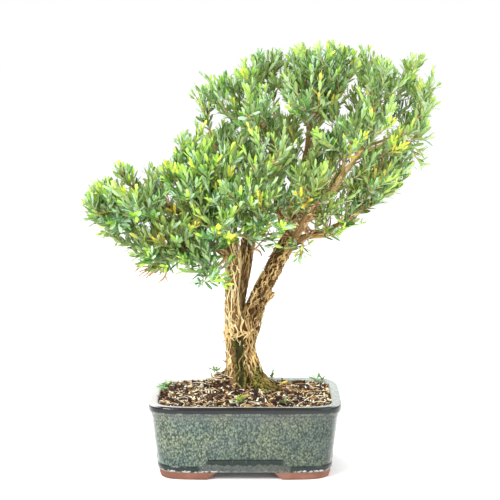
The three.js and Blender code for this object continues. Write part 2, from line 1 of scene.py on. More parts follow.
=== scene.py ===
# %% [markdown]
# # A boxwood bonsai in a glazed pot
#
# The tree stands in a rectangular stoneware pot. Its crown is some nine thousand small leathery leaves on
# fine twigs, its trunk is a bundle of fibrous ridges, and the pot has a mottled grey-green glaze. The packed
# model gives every size. This lesson puts a finer piece in the place of each solid that shows.

# %% Load the frame and keep its box
import json
import math

import bmesh
import bpy
import numpy as np
from mathutils import Euler, Matrix, Vector, noise

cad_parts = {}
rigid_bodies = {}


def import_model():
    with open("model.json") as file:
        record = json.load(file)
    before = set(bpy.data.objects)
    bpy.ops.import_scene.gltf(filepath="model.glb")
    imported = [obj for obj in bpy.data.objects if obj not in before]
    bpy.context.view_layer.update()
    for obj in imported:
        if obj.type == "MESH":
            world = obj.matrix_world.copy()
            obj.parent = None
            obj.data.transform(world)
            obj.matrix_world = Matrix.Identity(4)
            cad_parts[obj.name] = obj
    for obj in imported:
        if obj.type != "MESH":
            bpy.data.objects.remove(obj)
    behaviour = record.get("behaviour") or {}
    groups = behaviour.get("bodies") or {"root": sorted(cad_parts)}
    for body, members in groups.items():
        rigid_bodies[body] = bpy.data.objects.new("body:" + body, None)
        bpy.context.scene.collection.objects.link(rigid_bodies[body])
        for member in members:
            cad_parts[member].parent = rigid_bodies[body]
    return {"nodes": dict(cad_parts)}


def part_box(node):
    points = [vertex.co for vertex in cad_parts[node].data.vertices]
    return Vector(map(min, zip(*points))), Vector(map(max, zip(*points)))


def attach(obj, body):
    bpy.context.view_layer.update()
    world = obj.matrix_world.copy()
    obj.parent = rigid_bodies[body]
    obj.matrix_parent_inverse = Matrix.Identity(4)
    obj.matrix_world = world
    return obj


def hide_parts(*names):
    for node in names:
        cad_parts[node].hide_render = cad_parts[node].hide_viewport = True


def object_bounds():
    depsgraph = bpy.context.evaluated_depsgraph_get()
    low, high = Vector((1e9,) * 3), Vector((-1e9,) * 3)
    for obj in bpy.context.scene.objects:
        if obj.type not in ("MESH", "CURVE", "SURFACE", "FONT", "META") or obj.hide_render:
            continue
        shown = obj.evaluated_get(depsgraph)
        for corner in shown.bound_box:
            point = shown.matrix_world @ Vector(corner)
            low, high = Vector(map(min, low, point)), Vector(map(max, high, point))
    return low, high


# Vector noise starts from the clock unless it has a seed, and would differ from run to run.
noise.seed_set(1)
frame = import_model()
cad_box = [list(corner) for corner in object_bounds()]
print("packed nodes:", len(frame["nodes"]), "box:", cad_box)

# %% [markdown]
# ## Where things are
#
# The tree's lines are written in millimetres about the middle of the pot's underside, as they were when the
# solids were made. The pot's own box says where that middle lies in the frame.

# %% From millimetres at the pot to metres in the frame
low, high = (np.array(corner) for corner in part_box("pot"))
POT_MIDDLE = np.array([(low[0] + high[0]) / 2, (low[1] + high[1]) / 2, 0.0])


def place(points):
    return np.asarray(points, float) / 1000 + POT_MIDDLE


print("middle of the pot:", POT_MIDDLE.round(5))

# %% [markdown]
# ## The camera
#
# The photograph looks at the tree a little from above, from far enough away that the pot's sides stay nearly
# parallel. A long lens two metres away gives the same view. It comes first, so that everything after it can
# be judged in it.

# %% Camera
EYE = np.array([7.0, -2200.0, 587.6])
LOOKS_DOWN = 7.276
camera_data = bpy.data.cameras.new("camera")
camera_data.lens = 114.0
camera_data.sensor_width = 36.0
camera_data.clip_end = 50.0
camera = bpy.data.objects.new("camera", camera_data)
bpy.context.scene.collection.objects.link(camera)
camera.location = place(EYE)
camera.rotation_euler = (math.radians(90 - LOOKS_DOWN), 0, 0)
bpy.context.scene.camera = camera
print("camera at", [round(c, 3) for c in camera.location])

# %% [markdown]
# ## The skeleton
#
# A tree is easiest to build from its lines. Stems rise out of the trunk, limbs leave the stems, and each limb
# bears side branches that end in leafy sprays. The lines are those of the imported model: points of the middle
# with the radius there for stems and limbs, and the tip of each spray. A root has a direction in degrees, a
# reach and a thickness, and every root falls away from the trunk in the same way: share of its reach, height,
# share of its thickness.

# %% Stems, limbs and sprays
TRUNK = (-6, 10)
STEMS = {
    "base": [(-6, 10, 102, 22), (-6, 10, 122, 20), (-5.5, 10, 150, 20), (-6.5, 10, 172, 20.5),
             (-6, 10, 187, 23), (-6, 10, 198, 20), (-6, 11, 212, 11)],
    "left_front": [(-13, 7, 180, 13), (-17, 6, 205, 11), (-19, 6, 235, 9), (-17.5, 5, 263, 9.5),
                   (-17, 2, 296, 10.5), (-19, -1, 322, 9), (-20, -3, 334, 5)],
    "left_back": [(-6, 17, 185, 12), (-8, 20, 210, 9), (-7.5, 21, 235, 7.5), (-3, 22, 262, 7.5),
                  (1, 24, 293, 9), (5, 26, 318, 9), (7, 28, 332, 5)],
    "right": [(2, 12, 180, 14), (9, 12, 205, 14), (15, 12, 226, 12.5), (27, 12, 254, 11), (39, 11, 277, 10.5),
              (51, 10, 301, 11), (62, 8, 318, 11), (69, 7, 332, 6)],
}
LIMBS = {
    "left_low": ([(-19, 0, 296, 6), (-48, -8, 316, 4.5), (-90, -16, 313, 3.4)],
                 [(-66, -72, 276), (-104, 22, 300), (-150, -50, 292)]),
    "left_main": ([(-19, 2, 312, 7.5), (-46, 6, 340, 6), (-95, 8, 362, 4.8), (-150, 5, 375, 3)],
                  [(-226, 4, 398), (-220, -46, 360), (-198, 16, 320), (-182, -24, 432), (-146, 44, 424),
                   (-168, 84, 370), (-156, -82, 366)]),
    "left_up": ([(-20, -2, 318, 6.5), (-36, -6, 358, 5), (-62, -6, 398, 3.8), (-92, 0, 424, 2.6)],
                [(-120, -28, 428), (-90, 14, 470), (-84, -84, 396), (-42, -78, 440), (-70, 96, 400)]),
    "center_front": ([(-18, -2, 318, 5.5), (-12, -26, 350, 4.2), (2, -50, 382, 2.6)],
                     [(-44, -104, 346), (0, -116, 384), (50, -98, 356), (44, -110, 452)]),
    "back_left": ([(6, 27, 314, 6.5), (0, 42, 352, 5.2), (-14, 56, 400, 4), (-38, 50, 438, 2.8)],
                  [(-68, 20, 538), (-62, 66, 478), (-24, 120, 436)]),
    "center_up": ([(6, 27, 318, 6.5), (16, 30, 362, 5.4), (30, 30, 420, 4.2), (42, 26, 462, 3)],
                  [(-32, 40, 554), (-6, -14, 580), (38, 30, 590), (6, -76, 508), (56, 122, 492)]),
    "right_up": ([(64, 8, 318, 8), (72, 11, 362, 6.4), (82, 13, 420, 5), (92, 8, 486, 3.4)],
                 [(78, 0, 598), (100, -52, 578), (142, 12, 594), (80, -88, 518), (126, 108, 534)]),
    "right_mid": ([(66, 4, 322, 6.5), (95, -12, 360, 6), (127, -30, 403, 5.2), (154, -36, 439, 4.4),
                   (182, -39, 454, 3.6), (214, -38, 470, 2.6)],
                  [(200, -34, 580), (264, 0, 530), (242, -52, 456), (186, -92, 492), (134, -100, 478)]),
    "right_back": ([(66, 12, 320, 6.5), (100, 34, 362, 5.4), (140, 54, 410, 4.2), (178, 54, 456, 3)],
                   [(182, 54, 592), (240, 24, 574), (252, 50, 490), (184, 112, 476)]),
    "right_low": ([(64, 4, 314, 7.5), (88, 2, 326, 5.6), (113, 0, 333, 4.6), (152, -4, 357, 3.4)],
                  [(222, 6, 410), (172, 28, 348), (184, -74, 418), (146, -60, 344)]),
    "right_front": ([(66, 0, 318, 5), (80, -28, 350, 4), (92, -54, 378, 2.6)], [(92, -118, 408)]),
    "back": ([(62, 14, 314, 5.5), (50, 48, 354, 4.4), (44, 76, 388, 2.8)],
             [(24, 120, 414), (66, 106, 352)]),
}
ROOTS = [(-8, 56, 11), (-38, 50, 10), (-78, 34, 8), (-128, 34, 8), (-172, 40, 10), (150, 36, 8), (95, 36, 9),
         (40, 44, 10)]
ROOT_FALL = [(0.1, 152, 0.7), (0.42, 128, 1), (0.66, 114, 0.8), (1, 107, 0.35)]
SNAGS = [[(20, 9, 227, 6), (41, 5, 246, 3.2)], [(40, 9, 268, 4), (51.5, 6, 277, 2)]]
HOLLOW = [(-10, -13, 192, 4), (-10, -12, 178, 6), (-8, -12, 150, 6.5), (-7, -13, 118, 3.5)]
print("stems:", len(STEMS), "limbs:", len(LIMBS), "sprays:", sum(len(tips) for _, tips in LIMBS.values()))

# %% [markdown]
# ## Smooth lines
#
# A handful of points becomes a smooth line by a Catmull-Rom curve, which passes through every point. Walking
# it by length keeps things evenly spaced where the points aren't.


# %% A curve that is walked by its length
class Path:
    def __init__(self, at):
        self.at = at
        self.steps = np.linspace(0, 1, 201)
        lengths = np.linalg.norm(np.diff(at(self.steps), axis=0), axis=1)
        self.run = np.concatenate([[0], np.cumsum(lengths)])
        self.length = self.run[-1]

    def points(self, shares):
        return self.at(np.interp(np.atleast_1d(shares) * self.length, self.run, self.steps))

    def tangents(self, shares):
        shares = np.atleast_1d(shares)
        step = self.points(np.minimum(shares + 1e-3, 1)) - self.points(np.maximum(shares - 1e-3, 0))
        return step / np.linalg.norm(step, axis=1, keepdims=True)


def smooth_line(line):
    p = np.array(line, float)[:, :3]
    p = np.vstack([2 * p[0] - p[1], p, 2 * p[-1] - p[-2]])

    def at(t):
        t = np.atleast_1d(t) * (len(p) - 3)
        i = np.minimum(t.astype(int), len(p) - 4)
        w = (t - i)[:, None]
        a, b, c, d = p[i], p[i + 1], p[i + 2], p[i + 3]
        ab, bc, cd = (np.linalg.norm(q - o, axis=1, keepdims=True) ** 0.5 for o,
                      q in ((a, b), (b, c), (c, d)))
        leave = bc * ((b - a) / ab - (c - a) / (ab + bc) + (c - b) / bc)
        arrive = bc * ((c - b) / bc - (d - b) / (bc + cd) + (d - c) / cd)
        return (b + leave * w + (3 * (c - b) - 2 * leave - arrive) * w**2
                + (2 * (b - c) + leave + arrive) * w**3)

    return Path(at)


def bent_line(start, middle, end):
    def at(t):
        t = np.atleast_1d(t)[:, None]
        return (1 - t) ** 2 * start + 2 * t * (1 - t) * middle + t**2 * end

    return Path(at)


def radius_along(line):
    line = np.array(line, float)
    run = np.concatenate([[0], np.cumsum(np.linalg.norm(np.diff(line[:, :3], axis=0), axis=1))])
    return lambda shares: np.interp(np.asarray(shares) * run[-1], run, line[:, 3])


print("right stem:", round(smooth_line(STEMS["right"]).length), "mm long")

# %% [markdown]
# ## Side branches that keep clear of each other
#
# A side branch leaves its limb where its tip lies well ahead, sags a little and turns up again. Of the places
# where it could leave, it takes the best one that keeps it clear of the wood and twigs before it. This is the
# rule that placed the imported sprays, so each fine spray lands in its own solid.

# %% Side branches
WOOD_SHARE = 0.4
LEAF_BEYOND = 18.0
SHORTEST = 84.0
TWIG_RADIUS = 3.0
rods = []


def segment_distance(a, b, others):
    c, d = others[:, 0:3], others[:, 3:6]
    u, v, w = b - a, d - c, a - c
    uu, uv, vv = u @ u, v @ u, np.sum(v * v, axis=1)
    uw, vw = w @ u, np.sum(v * w, axis=1)
    skew = uu * vv - uv * uv
    s = np.where(skew > 1e-9, np.clip((uv * vw - vv * uw) / np.maximum(skew, 1e-9), 0, 1), 0)
    t = (uv * s + vw) / vv
    s = np.where(t < 0, np.clip(-uw / uu, 0, 1), np.where(t > 1, np.clip((uv - uw) / uu, 0, 1), s))
    t = np.clip(t, 0, 1)
    return np.linalg.norm(w + s[:, None] * u - t[:, None] * v, axis=1)


def is_clear(a, b, radius):
    others = np.array(rods)
    return bool(np.all(segment_distance(a, b, others) > radius + others[:, 6] + 0.6))


def branch_path(limb, tip):
    tip = np.array(tip, float)
    choices = []
    for k in range(23):
        share = (k + 2) / 24
        start, along = limb.points(share)[0], limb.tangents(share)[0]
        away = tip - start
        reach = np.linalg.norm(away)
        end = tip - away * LEAF_BEYOND / reach
        middle = (start + end) / 2 - np.array([0, 0, 0.12 * reach])
        cost = reach - 0.55 * (away @ along) + 4 * max(0, SHORTEST - reach)
        choices.append((cost, k, bent_line(start, middle, end)))
    choices.sort(key=lambda choice: choice[:2])
    for _, _, path in choices:
        joints = path.points([WOOD_SHARE + (1 - WOOD_SHARE) * i / 3 for i in range(4)])
        if all(is_clear(joints[i], joints[i + 1], TWIG_RADIUS) for i in range(3)):
            return path
    return choices[0][2]


for line in [*STEMS.values(), *(limb[0] for limb in LIMBS.values())]:
    path, radius = smooth_line(line), radius_along(line)
    joints = path.points(np.arange(9) / 8)
    rods.extend([*joints[i], *joints[i + 1], float(radius((i + 0.5) / 8))] for i in range(8))
branches = {}
for limb_name, (line, tips) in LIMBS.items():
    for number, tip in enumerate(tips, 1):
        path = branch_path(smooth_line(line), tip)
        foot = path.points([WOOD_SHARE * i / 3 for i in range(4)])
        rods.extend([*foot[i], *foot[i + 1], 2.8 - 0.9 * (i + 0.5) / 3] for i in range(3))
        twig = path.points([WOOD_SHARE + (1 - WOOD_SHARE) * i / 3 for i in range(4)])
        rods.extend([*twig[i], *twig[i + 1], TWIG_RADIUS] for i in range(3))
        branches[f"{limb_name}_{number}"] = path
print("side branches:", len(branches), "mean length", round(np.mean([p.length for p in branches.values()])),
      "mm")

# %% [markdown]
# ## Small tools for nodes
#
# Geometry nodes and shader nodes are wired in the same way, so one helper adds a node with its settings and
# inputs. A second one makes a group with named inputs, and a third runs a geometry tree on an object and
# keeps the result as a plain mesh.


# %% Node helpers
def add(tree, kind, inputs=(), **settings):
    node = tree.nodes.new(kind)
    for key, value in settings.items():
        setattr(node, key, value)
    for key, value in dict(inputs).items():
        named = [node.inputs[key]] if isinstance(key, int) else [s for s in node.inputs if s.name == key]
        socket = named[0] if len(named) == 1 else next(s for s in named if s.enabled)
        if isinstance(value, bpy.types.NodeSocket):
            tree.links.new(value, socket)
        else:
            socket.default_value = value
    return node


def calc(tree, operation, *values):
    return add(tree, "ShaderNodeMath", dict(enumerate(values)), operation=operation).outputs[0]


def times(tree, one, other):
    return calc(tree, "MULTIPLY", one, other)


def plus(tree, one, other):
    return calc(tree, "ADD", one, other)


def minus(tree, one, other):
    return calc(tree, "SUBTRACT", one, other)


def scaled(tree, vector, factor):
    return add(tree, "ShaderNodeVectorMath", {0: vector, "Scale": factor}, operation="SCALE").outputs[0]


def summed(tree, one, other):
    return add(tree, "ShaderNodeVectorMath", {0: one, 1: other}, operation="ADD").outputs[0]


def ranged(tree, value, span=(0.0, 1.0), result=(0.0, 1.0)):
    return add(tree, "ShaderNodeMapRange", {"Value": value, "From Min": span[0], "From Max": span[1],
                                            "To Min": result[0], "To Max": result[1]}).outputs["Result"]


def named(tree, name):
    return add(tree, "GeometryNodeInputNamedAttribute", {"Name": name}, data_type="FLOAT").outputs[0]


def group(kind, name, inputs, outputs):
    tree = bpy.data.node_groups.new(name, kind)
    for label, (socket, default) in inputs.items():
        item = tree.interface.new_socket(label, in_out="INPUT", socket_type="NodeSocket" + socket)
        if default is not None:
            item.default_value = default
    for label, socket in outputs.items():
        tree.interface.new_socket(label, in_out="OUTPUT", socket_type="NodeSocket" + socket)
    entry, leave = tree.nodes.new("NodeGroupInput"), tree.nodes.new("NodeGroupOutput")
    return tree, entry.outputs, leave


def grow(piece, tree, **values):
    modifier = piece.modifiers.new(tree.name, "NODES")
    modifier.node_group = tree
    for item in tree.interface.items_tree:
        label = item.name.replace(" ", "_")
        if item.item_type == "SOCKET" and item.in_out == "INPUT" and label in values:
            modifier[item.identifier] = values[label]
    return settle(piece)


def settle(piece):
    graph = bpy.context.evaluated_depsgraph_get()
    mesh = bpy.data.meshes.new_from_object(
        piece.evaluated_get(graph), preserve_all_data_layers=True, depsgraph=graph)
    piece.modifiers.clear()
    piece.data = mesh
    return piece


def mesh_piece(name, points, faces, edges=()):
    mesh = bpy.data.meshes.new(name)
    mesh.from_pydata([tuple(p) for p in points], list(edges), [tuple(f) for f in faces])
    piece = bpy.data.objects.new(name, mesh)
    bpy.context.scene.collection.objects.link(piece)
    return piece


def keep(name, values, piece, domain="POINT"):
    if name in piece.data.attributes:
        piece.data.attributes.remove(piece.data.attributes[name])
    kept = piece.data.attributes.new(name, "FLOAT", domain)
    kept.data.foreach_set("value", np.asarray(values, np.float32).ravel())


def smooth(piece):
    piece.data.polygons.foreach_set("use_smooth", [True] * len(piece.data.polygons))


def triangles(piece):
    return sum(len(p.vertices) - 2 for p in piece.data.polygons)


print("helpers ready")

# %% [markdown]
# ## Shared shader effects
#
# Natural surfaces are never one colour. Two effects come back in most of the materials here: a mottle, which
# is soft noise with its contrast drawn out, and a height mask, which picks out what lies above a level with
# a ragged edge. Each is built once as a group and placed in a material with its own values.


# %% Mottle and height mask
def colour(r, g, b):
    def linear(c):
        c /= 255
        return c / 12.92 if c <= 0.04045 else ((c + 0.055) / 1.055) ** 2.4

    return (linear(r), linear(g), linear(b), 1.0)


mottle, entry, leave = group(
    "ShaderNodeTree", "mottle",
    {"Vector": ("Vector", None), "Scale": ("Float", 50.0), "Detail": ("Float", 4.0),
     "From": ("Float", 0.35), "To": ("Float", 0.65)},
    {"Mask": "Float"})
cloud = add(mottle, "ShaderNodeTexNoise",
            {"Vector": entry["Vector"], "Scale": entry["Scale"], "Detail": entry["Detail"]})
drawn = add(mottle, "ShaderNodeMapRange",
            {"Value": cloud.outputs["Fac"], "From Min": entry["From"], "From Max": entry["To"]},
            interpolation_type="SMOOTHSTEP")
mottle.links.new(drawn.outputs["Result"], leave.inputs["Mask"])

above, entry, leave = group(
    "ShaderNodeTree", "above",
    {"Vector": ("Vector", None), "Level": ("Float", 0.0), "Blend": ("Float", 0.001),
     "Ragged": ("Float", 0.001), "Scale": ("Float", 80.0)},
    {"Mask": "Float"})
height = add(above, "ShaderNodeSeparateXYZ", {0: entry["Vector"]}).outputs["Z"]
cloud = add(above, "ShaderNodeTexNoise", {"Vector": entry["Vector"], "Scale": entry["Scale"], "Detail": 3.0})
sway = times(above, minus(above, cloud.outputs["Fac"], 0.5), entry["Ragged"])
rise = minus(above, plus(above, height, sway), entry["Level"])
over = add(above, "ShaderNodeMapRange", {"Value": rise, "From Min": times(above, entry["Blend"], -0.5),
                                         "From Max": times(above, entry["Blend"], 0.5)},
                                         interpolation_type="SMOOTHSTEP")
above.links.new(over.outputs["Result"], leave.inputs["Mask"])


def use(tree, effect, **inputs):
    return add(tree, "ShaderNodeGroup", {k.replace("_", " "): v for k, v in inputs.items()},
               node_tree=effect).outputs[0]


print("shader groups:", mottle.name, above.name)


# %% Material helpers
def material(name, roughness, **settings):
    made = bpy.data.materials.new(name)
    made.use_nodes = True
    tree = made.node_tree
    shader = tree.nodes["Principled BSDF"]
    shader.inputs["Roughness"].default_value = roughness
    for key, value in settings.items():
        shader.inputs[key.replace("_", " ")].default_value = value
    return made, tree, shader


def blend(tree, mask, one, other):
    mix = add(tree, "ShaderNodeMix", data_type="RGBA")
    for socket, value in zip((mix.inputs[0], mix.inputs[6], mix.inputs[7]), (mask, one, other)):
        if isinstance(value, bpy.types.NodeSocket):
            tree.links.new(value, socket)
        else:
            socket.default_value = value
    return mix.outputs[2]


def stretched(tree, vector, factors):
    return add(tree, "ShaderNodeVectorMath", {0: vector, 1: factors}, operation="MULTIPLY").outputs[0]


def attribute(tree, name):
    return add(tree, "ShaderNodeAttribute", attribute_name=name).outputs["Fac"]


def ramp(tree, value, stops, interpolation="LINEAR"):
    made = add(tree, "ShaderNodeValToRGB", {"Fac": value})
    made.color_ramp.interpolation = interpolation
    while len(made.color_ramp.elements) < len(stops):
        made.color_ramp.elements.new(0.5)
    for element, (position, shade) in zip(made.color_ramp.elements, stops):
        element.position, element.color = position, colour(*shade)
    return made.outputs["Color"]


def bump(tree, shader, height, strength, distance):
    made = add(tree, "ShaderNodeBump", {"Strength": strength, "Distance": distance, "Height": height})
    tree.links.new(made.outputs[0], shader.inputs["Normal"])


def here(tree):
    return add(tree, "ShaderNodeTexCoord").outputs["Object"]


print("material helpers ready")

# %% [markdown]
# ## The leaf
#
# A boxwood leaf is small, leathery and spoon-shaped: narrow at its foot, widest past the middle, with a blunt
# tip, a groove along the midrib and edges that curl down a little. One leaf has only thirty triangles,
# because there are thousands. Three differently bent leaves are enough that no two neighbours look alike.


# %% Three leaf shapes
LEAF_LENGTH = 20.0
LEAF_HALF = [(0.0, 0.1), (0.25, 0.68), (0.62, 1.0), (0.92, 0.62), (1.0, 0.0)]


def leaf_mesh(name, half_width, arch, cup):
    points, faces, uvs, under = [], [], [], []
    for t, half in LEAF_HALF[:-1]:
        half *= half_width
        drop = -arch * t * t
        points += [(t * LEAF_LENGTH, half, drop + cup * half), (t * LEAF_LENGTH, 0, drop + 0.12),
                   (t * LEAF_LENGTH, -half, drop + cup * half), (t * LEAF_LENGTH, 0, drop - 0.42)]
        uvs += [(t, 1), (t, 0.5), (t, 0), (t, 0.5)]
    points.append((LEAF_LENGTH, 0, -arch))
    uvs.append((1, 0.5))
    last = len(points) - 1
    rings = len(LEAF_HALF) - 1
    for k in range(rings - 1):
        for i in range(4):
            a, b = 4 * k + i, 4 * k + (i + 1) % 4
            faces.append((a, b, b + 4, a + 4))
            under.append(1.0 if i > 1 else 0.0)
    for i in range(4):
        faces.append((last - 4 + i, last - 4 + (i + 1) % 4, last))
        under.append(1.0 if i > 1 else 0.0)
    faces.append((3, 2, 1, 0))
    under.append(1.0)
    leaf = mesh_piece(name, np.array(points) / 1000, faces)
    layer = leaf.data.uv_layers.new(name="UVMap")
    for loop in leaf.data.loops:
        layer.data[loop.index].uv = uvs[loop.vertex_index]
    keep("under", under, leaf, domain="FACE")
    grown = bmesh.new()
    grown.from_mesh(leaf.data)
    bmesh.ops.recalc_face_normals(grown, faces=grown.faces)
    grown.to_mesh(leaf.data)
    grown.free()
    smooth(leaf)
    leaf.data.set_sharp_from_angle(angle=math.radians(70))
    return leaf


leaves = bpy.data.collections.new("leaf_shapes")
for name, half_width, arch, cup in (("leaf_flat", 2.9, 1.0, 0.12), ("leaf_arched", 3.1, 3.4, -0.1),
                                    ("leaf_cupped", 2.7, -1.4, 0.36)):
    leaf = leaf_mesh(name, half_width, arch, cup)
    bpy.context.scene.collection.objects.unlink(leaf)
    leaves.objects.link(leaf)

# %% [markdown]
# ## The colour of a leaf
#
# New leaves at the tips are bright yellow-green, older ones darken to a bluish green, those in the shade turn
# olive, and a few turn yellow before they fall. The nodes store on each leaf how far along its shoot it
# stands, the painted light level there, a random tone and a random sheen, which the material reads.
# Leaves with less of that light take the darker colours of older leaves, which is painted shade. The
# underside is paler and duller, the midrib and the edges are lighter, and some older leaves get a pale
# painted sheen, as if they reflected the sky.

# %% Leaf material
leaf_material, tree, shader = material("boxwood_leaf", 0.36, Coat_Weight=0.06, Coat_Roughness=0.25,
                                       Specular_IOR_Level=0.16)
share, tone, light = (attribute(tree, name) for name in ("share", "tone", "light"))
spread = times(tree, minus(tree, tone, 0.53), 1.05)
# Painted shade: a leaf with less light counts as older and takes the darker colours.
lit_share = times(tree, share, plus(tree, times(tree, light, 0.75), 0.3))
youth_with_painted_light = ranged(tree, plus(tree, lit_share, spread), (0.1, 1.4))
age_and_shade_colours = ramp(tree, youth_with_painted_light, [(0.0, (8, 60, 12)), (0.28, (36, 102, 22)), (0.55, (102, 162, 46)),
                          (0.78, (180, 220, 78)), (1.0, (232, 244, 86))])
cool = ranged(tree, use(tree, mottle, Vector=here(tree), Scale=28.0), result=(0.0, 0.62))
body = blend(tree, times(tree, cool, calc(tree, "LESS_THAN", youth_with_painted_light, 0.6)), age_and_shade_colours, colour(66, 132, 90))
inner = minus(tree, 1.0, light)
olive = times(tree, inner, use(tree, mottle, Vector=here(tree), Scale=16.0, From=0.4, To=0.6))
body = blend(tree, times(tree, olive, 0.7), body, colour(156, 156, 34))
turning = calc(tree, "GREATER_THAN", plus(tree, tone, times(tree, inner, 0.1)), 1.15)
body = blend(tree, turning, body, colour(232, 204, 64))
# Painted sheen: some older leaves are paled as a highlight, more where the painted light is high.
painted_sheen_mask = ranged(tree, attribute(tree, "sheen"), (0.56, 0.86), (0.0, 0.78))
painted_sheen_mask = times(tree, painted_sheen_mask, calc(tree, "LESS_THAN", youth_with_painted_light, 0.66))
body = blend(tree, times(tree, painted_sheen_mask, plus(tree, times(tree, light, 0.7), 0.3)), body, colour(200, 230, 206))
on_leaf = add(tree, "ShaderNodeUVMap", uv_map="UVMap").outputs[0]
across = add(tree, "ShaderNodeSeparateXYZ", {0: on_leaf})
off_rib = calc(tree, "ABSOLUTE", minus(tree, across.outputs["Y"], 0.5))
rib = ranged(tree, off_rib, (0.02, 0.11), (0.5, 0.0))
body = blend(tree, rib, body, colour(200, 214, 130))
edge = ranged(tree, off_rib, (0.36, 0.5), (0.0, 0.35))
body = blend(tree, edge, body, colour(186, 204, 128))
body = blend(tree, times(tree, attribute(tree, "under"), 0.5), body, colour(190, 214, 130))
tree.links.new(body, shader.inputs["Base Color"])
veins = add(tree, "ShaderNodeTexWave", {"Vector": stretched(tree, on_leaf, (1.0, 0.4, 0.0)), "Scale": 14.0,
                                        "Distortion": 1.5}, bands_direction="DIAGONAL")
bump(tree, shader, veins.outputs["Fac"], 0.25, 0.0002)
tree.links.new(ranged(tree, attribute(tree, "under"), result=(0.32, 0.7)), shader.inputs["Roughness"])
print("leaf material nodes:", len(tree.nodes))

# %% Twig material
twig_material, tree, shader = material("twig_bark", 0.75, Specular_IOR_Level=0.15)
young = use(tree, mottle, Vector=here(tree), Scale=160.0, From=0.3, To=0.7)
old = blend(tree, young, colour(128, 88, 54), colour(232, 198, 148))
green = ranged(tree, attribute(tree, "share"), (0.35, 0.95))
tree.links.new(blend(tree, green, old, colour(170, 186, 92)), shader.inputs["Base Color"])
bump(tree, shader, use(tree, mottle, Vector=stretched(tree, here(tree), (1.0, 1.0, 0.3)), Scale=900.0), 0.4,
     0.0003)
print("twig material nodes:", len(tree.nodes))

# %% [markdown]
# ## Twigs and leaves by geometry nodes
#
# A spray is a few lines: its own twig and the shoots that leave it. One tree turns any such lines into leafy
# shoots. It sweeps a small ring along each line for the wood, walks the line for places, sets two opposite
# leaves at each, turns every second pair by a right angle, as boxwood does, and closes the leaves towards
# the tip. It ends in Realize Instances and Set Material, so that the result is a plain mesh.

# %% The tree that grows leafy shoots
GEOMETRY = ("Geometry", None)
shoots, entry, leave = group(
    "GeometryNodeTree", "leafy_shoots",
    {"Lines": GEOMETRY, "Leaves": ("Collection", None), "Spacing": ("Float", 0.0062),
     "Spread at foot": ("Float", 0.95), "Spread at tip": ("Float", 0.36), "Leaf size": ("Float", 0.9),
     "Bare foot": ("Float", 0.1), "Lift": ("Float", 0.25), "Sides": ("Int", 4), "Seed": ("Int", 1),
     "Leaf": ("Material", None), "Bark": ("Material", None)},
    {"Piece": "Geometry"})
curve = add(shoots, "GeometryNodeMeshToCurve", {"Mesh": entry["Lines"]}).outputs[0]
thick = named(shoots, "thick")
ring = add(shoots, "GeometryNodeCurvePrimitiveCircle",
           {"Resolution": entry["Sides"], "Radius": 1.0}).outputs[0]
wood = add(shoots, "GeometryNodeCurveToMesh", {"Curve": curve, "Profile Curve": ring, "Scale": thick,
                                               "Fill Caps": True}).outputs[0]
wood = add(shoots, "GeometryNodeSetMaterial", {"Geometry": wood, "Material": entry["Bark"]}).outputs[0]
walk = add(shoots, "GeometryNodeCurveToPoints", {"Curve": curve, "Length": entry["Spacing"]}, mode="LENGTH")
pairs = add(shoots, "GeometryNodeDuplicateElements", {"Geometry": walk.outputs["Points"], "Amount": 2},
            domain="POINT").outputs[0]
index = add(shoots, "GeometryNodeInputIndex").outputs[0]
place_number = calc(shoots, "FLOOR", calc(shoots, "DIVIDE", index, 2.0))
mate = calc(shoots, "MODULO", index, 2.0)
crossed = calc(shoots, "MODULO", place_number, 2.0)


def chance(tree, low, high, seed, shift):
    return add(tree, "FunctionNodeRandomValue", {"Min": low, "Max": high, "Seed": plus(tree, seed, shift)},
               data_type="FLOAT").outputs[1]


turn = plus(shoots, times(shoots, mate, math.pi), times(shoots, crossed, math.pi / 2))
turn = plus(shoots, turn, chance(shoots, -0.45, 0.45, entry["Seed"], 1.0))
outward = add(shoots, "ShaderNodeVectorRotate", {
    "Vector": walk.outputs["Normal"], "Axis": walk.outputs["Tangent"], "Angle": turn}).outputs[0]
share = named(shoots, "share")
opening = ranged(shoots, share, result=(entry["Spread at foot"], entry["Spread at tip"]))
opening = plus(shoots, opening, chance(shoots, -0.22, 0.22, entry["Seed"], 2.0))
sine, cosine = calc(shoots, "SINE", opening), calc(shoots, "COSINE", opening)
along = summed(shoots, scaled(shoots, walk.outputs["Tangent"], cosine), scaled(shoots, outward, sine))
lift = add(shoots, "ShaderNodeCombineXYZ", {"Z": entry["Lift"]}).outputs[0]
face = summed(shoots, scaled(shoots, walk.outputs["Tangent"], sine),
              scaled(shoots, outward, times(shoots, cosine, -1.0)))
aimed = add(shoots, "FunctionNodeAlignRotationToVector", {"Vector": summed(shoots, along, lift)},
            axis="X").outputs[0]
aimed = add(shoots, "FunctionNodeAlignRotationToVector", {"Rotation": aimed, "Vector": face}, axis="Z",
            pivot_axis="X").outputs[0]
young = ranged(shoots, share, (0.72, 1.0), (1.0, 0.7))
size = times(shoots, times(shoots, young, entry["Leaf size"]), chance(shoots, 0.78, 1.12, entry["Seed"], 3.0))
shapes = add(shoots, "GeometryNodeCollectionInfo", {"Collection": entry["Leaves"], "Separate Children": True,
                                                    "Reset Children": True}).outputs[0]
set_leaves = add(shoots, "GeometryNodeInstanceOnPoints", {
    "Points": pairs, "Selection": calc(shoots, "GREATER_THAN", share, entry["Bare foot"]), "Instance": shapes,
    "Pick Instance": True, "Rotation": aimed, "Scale": size}).outputs[0]
shoot_tone = named(shoots, "tone")
leaf_tone = plus(shoots, shoot_tone, chance(shoots, -0.24, 0.24, entry["Seed"], 4.0))
toned = set_leaves
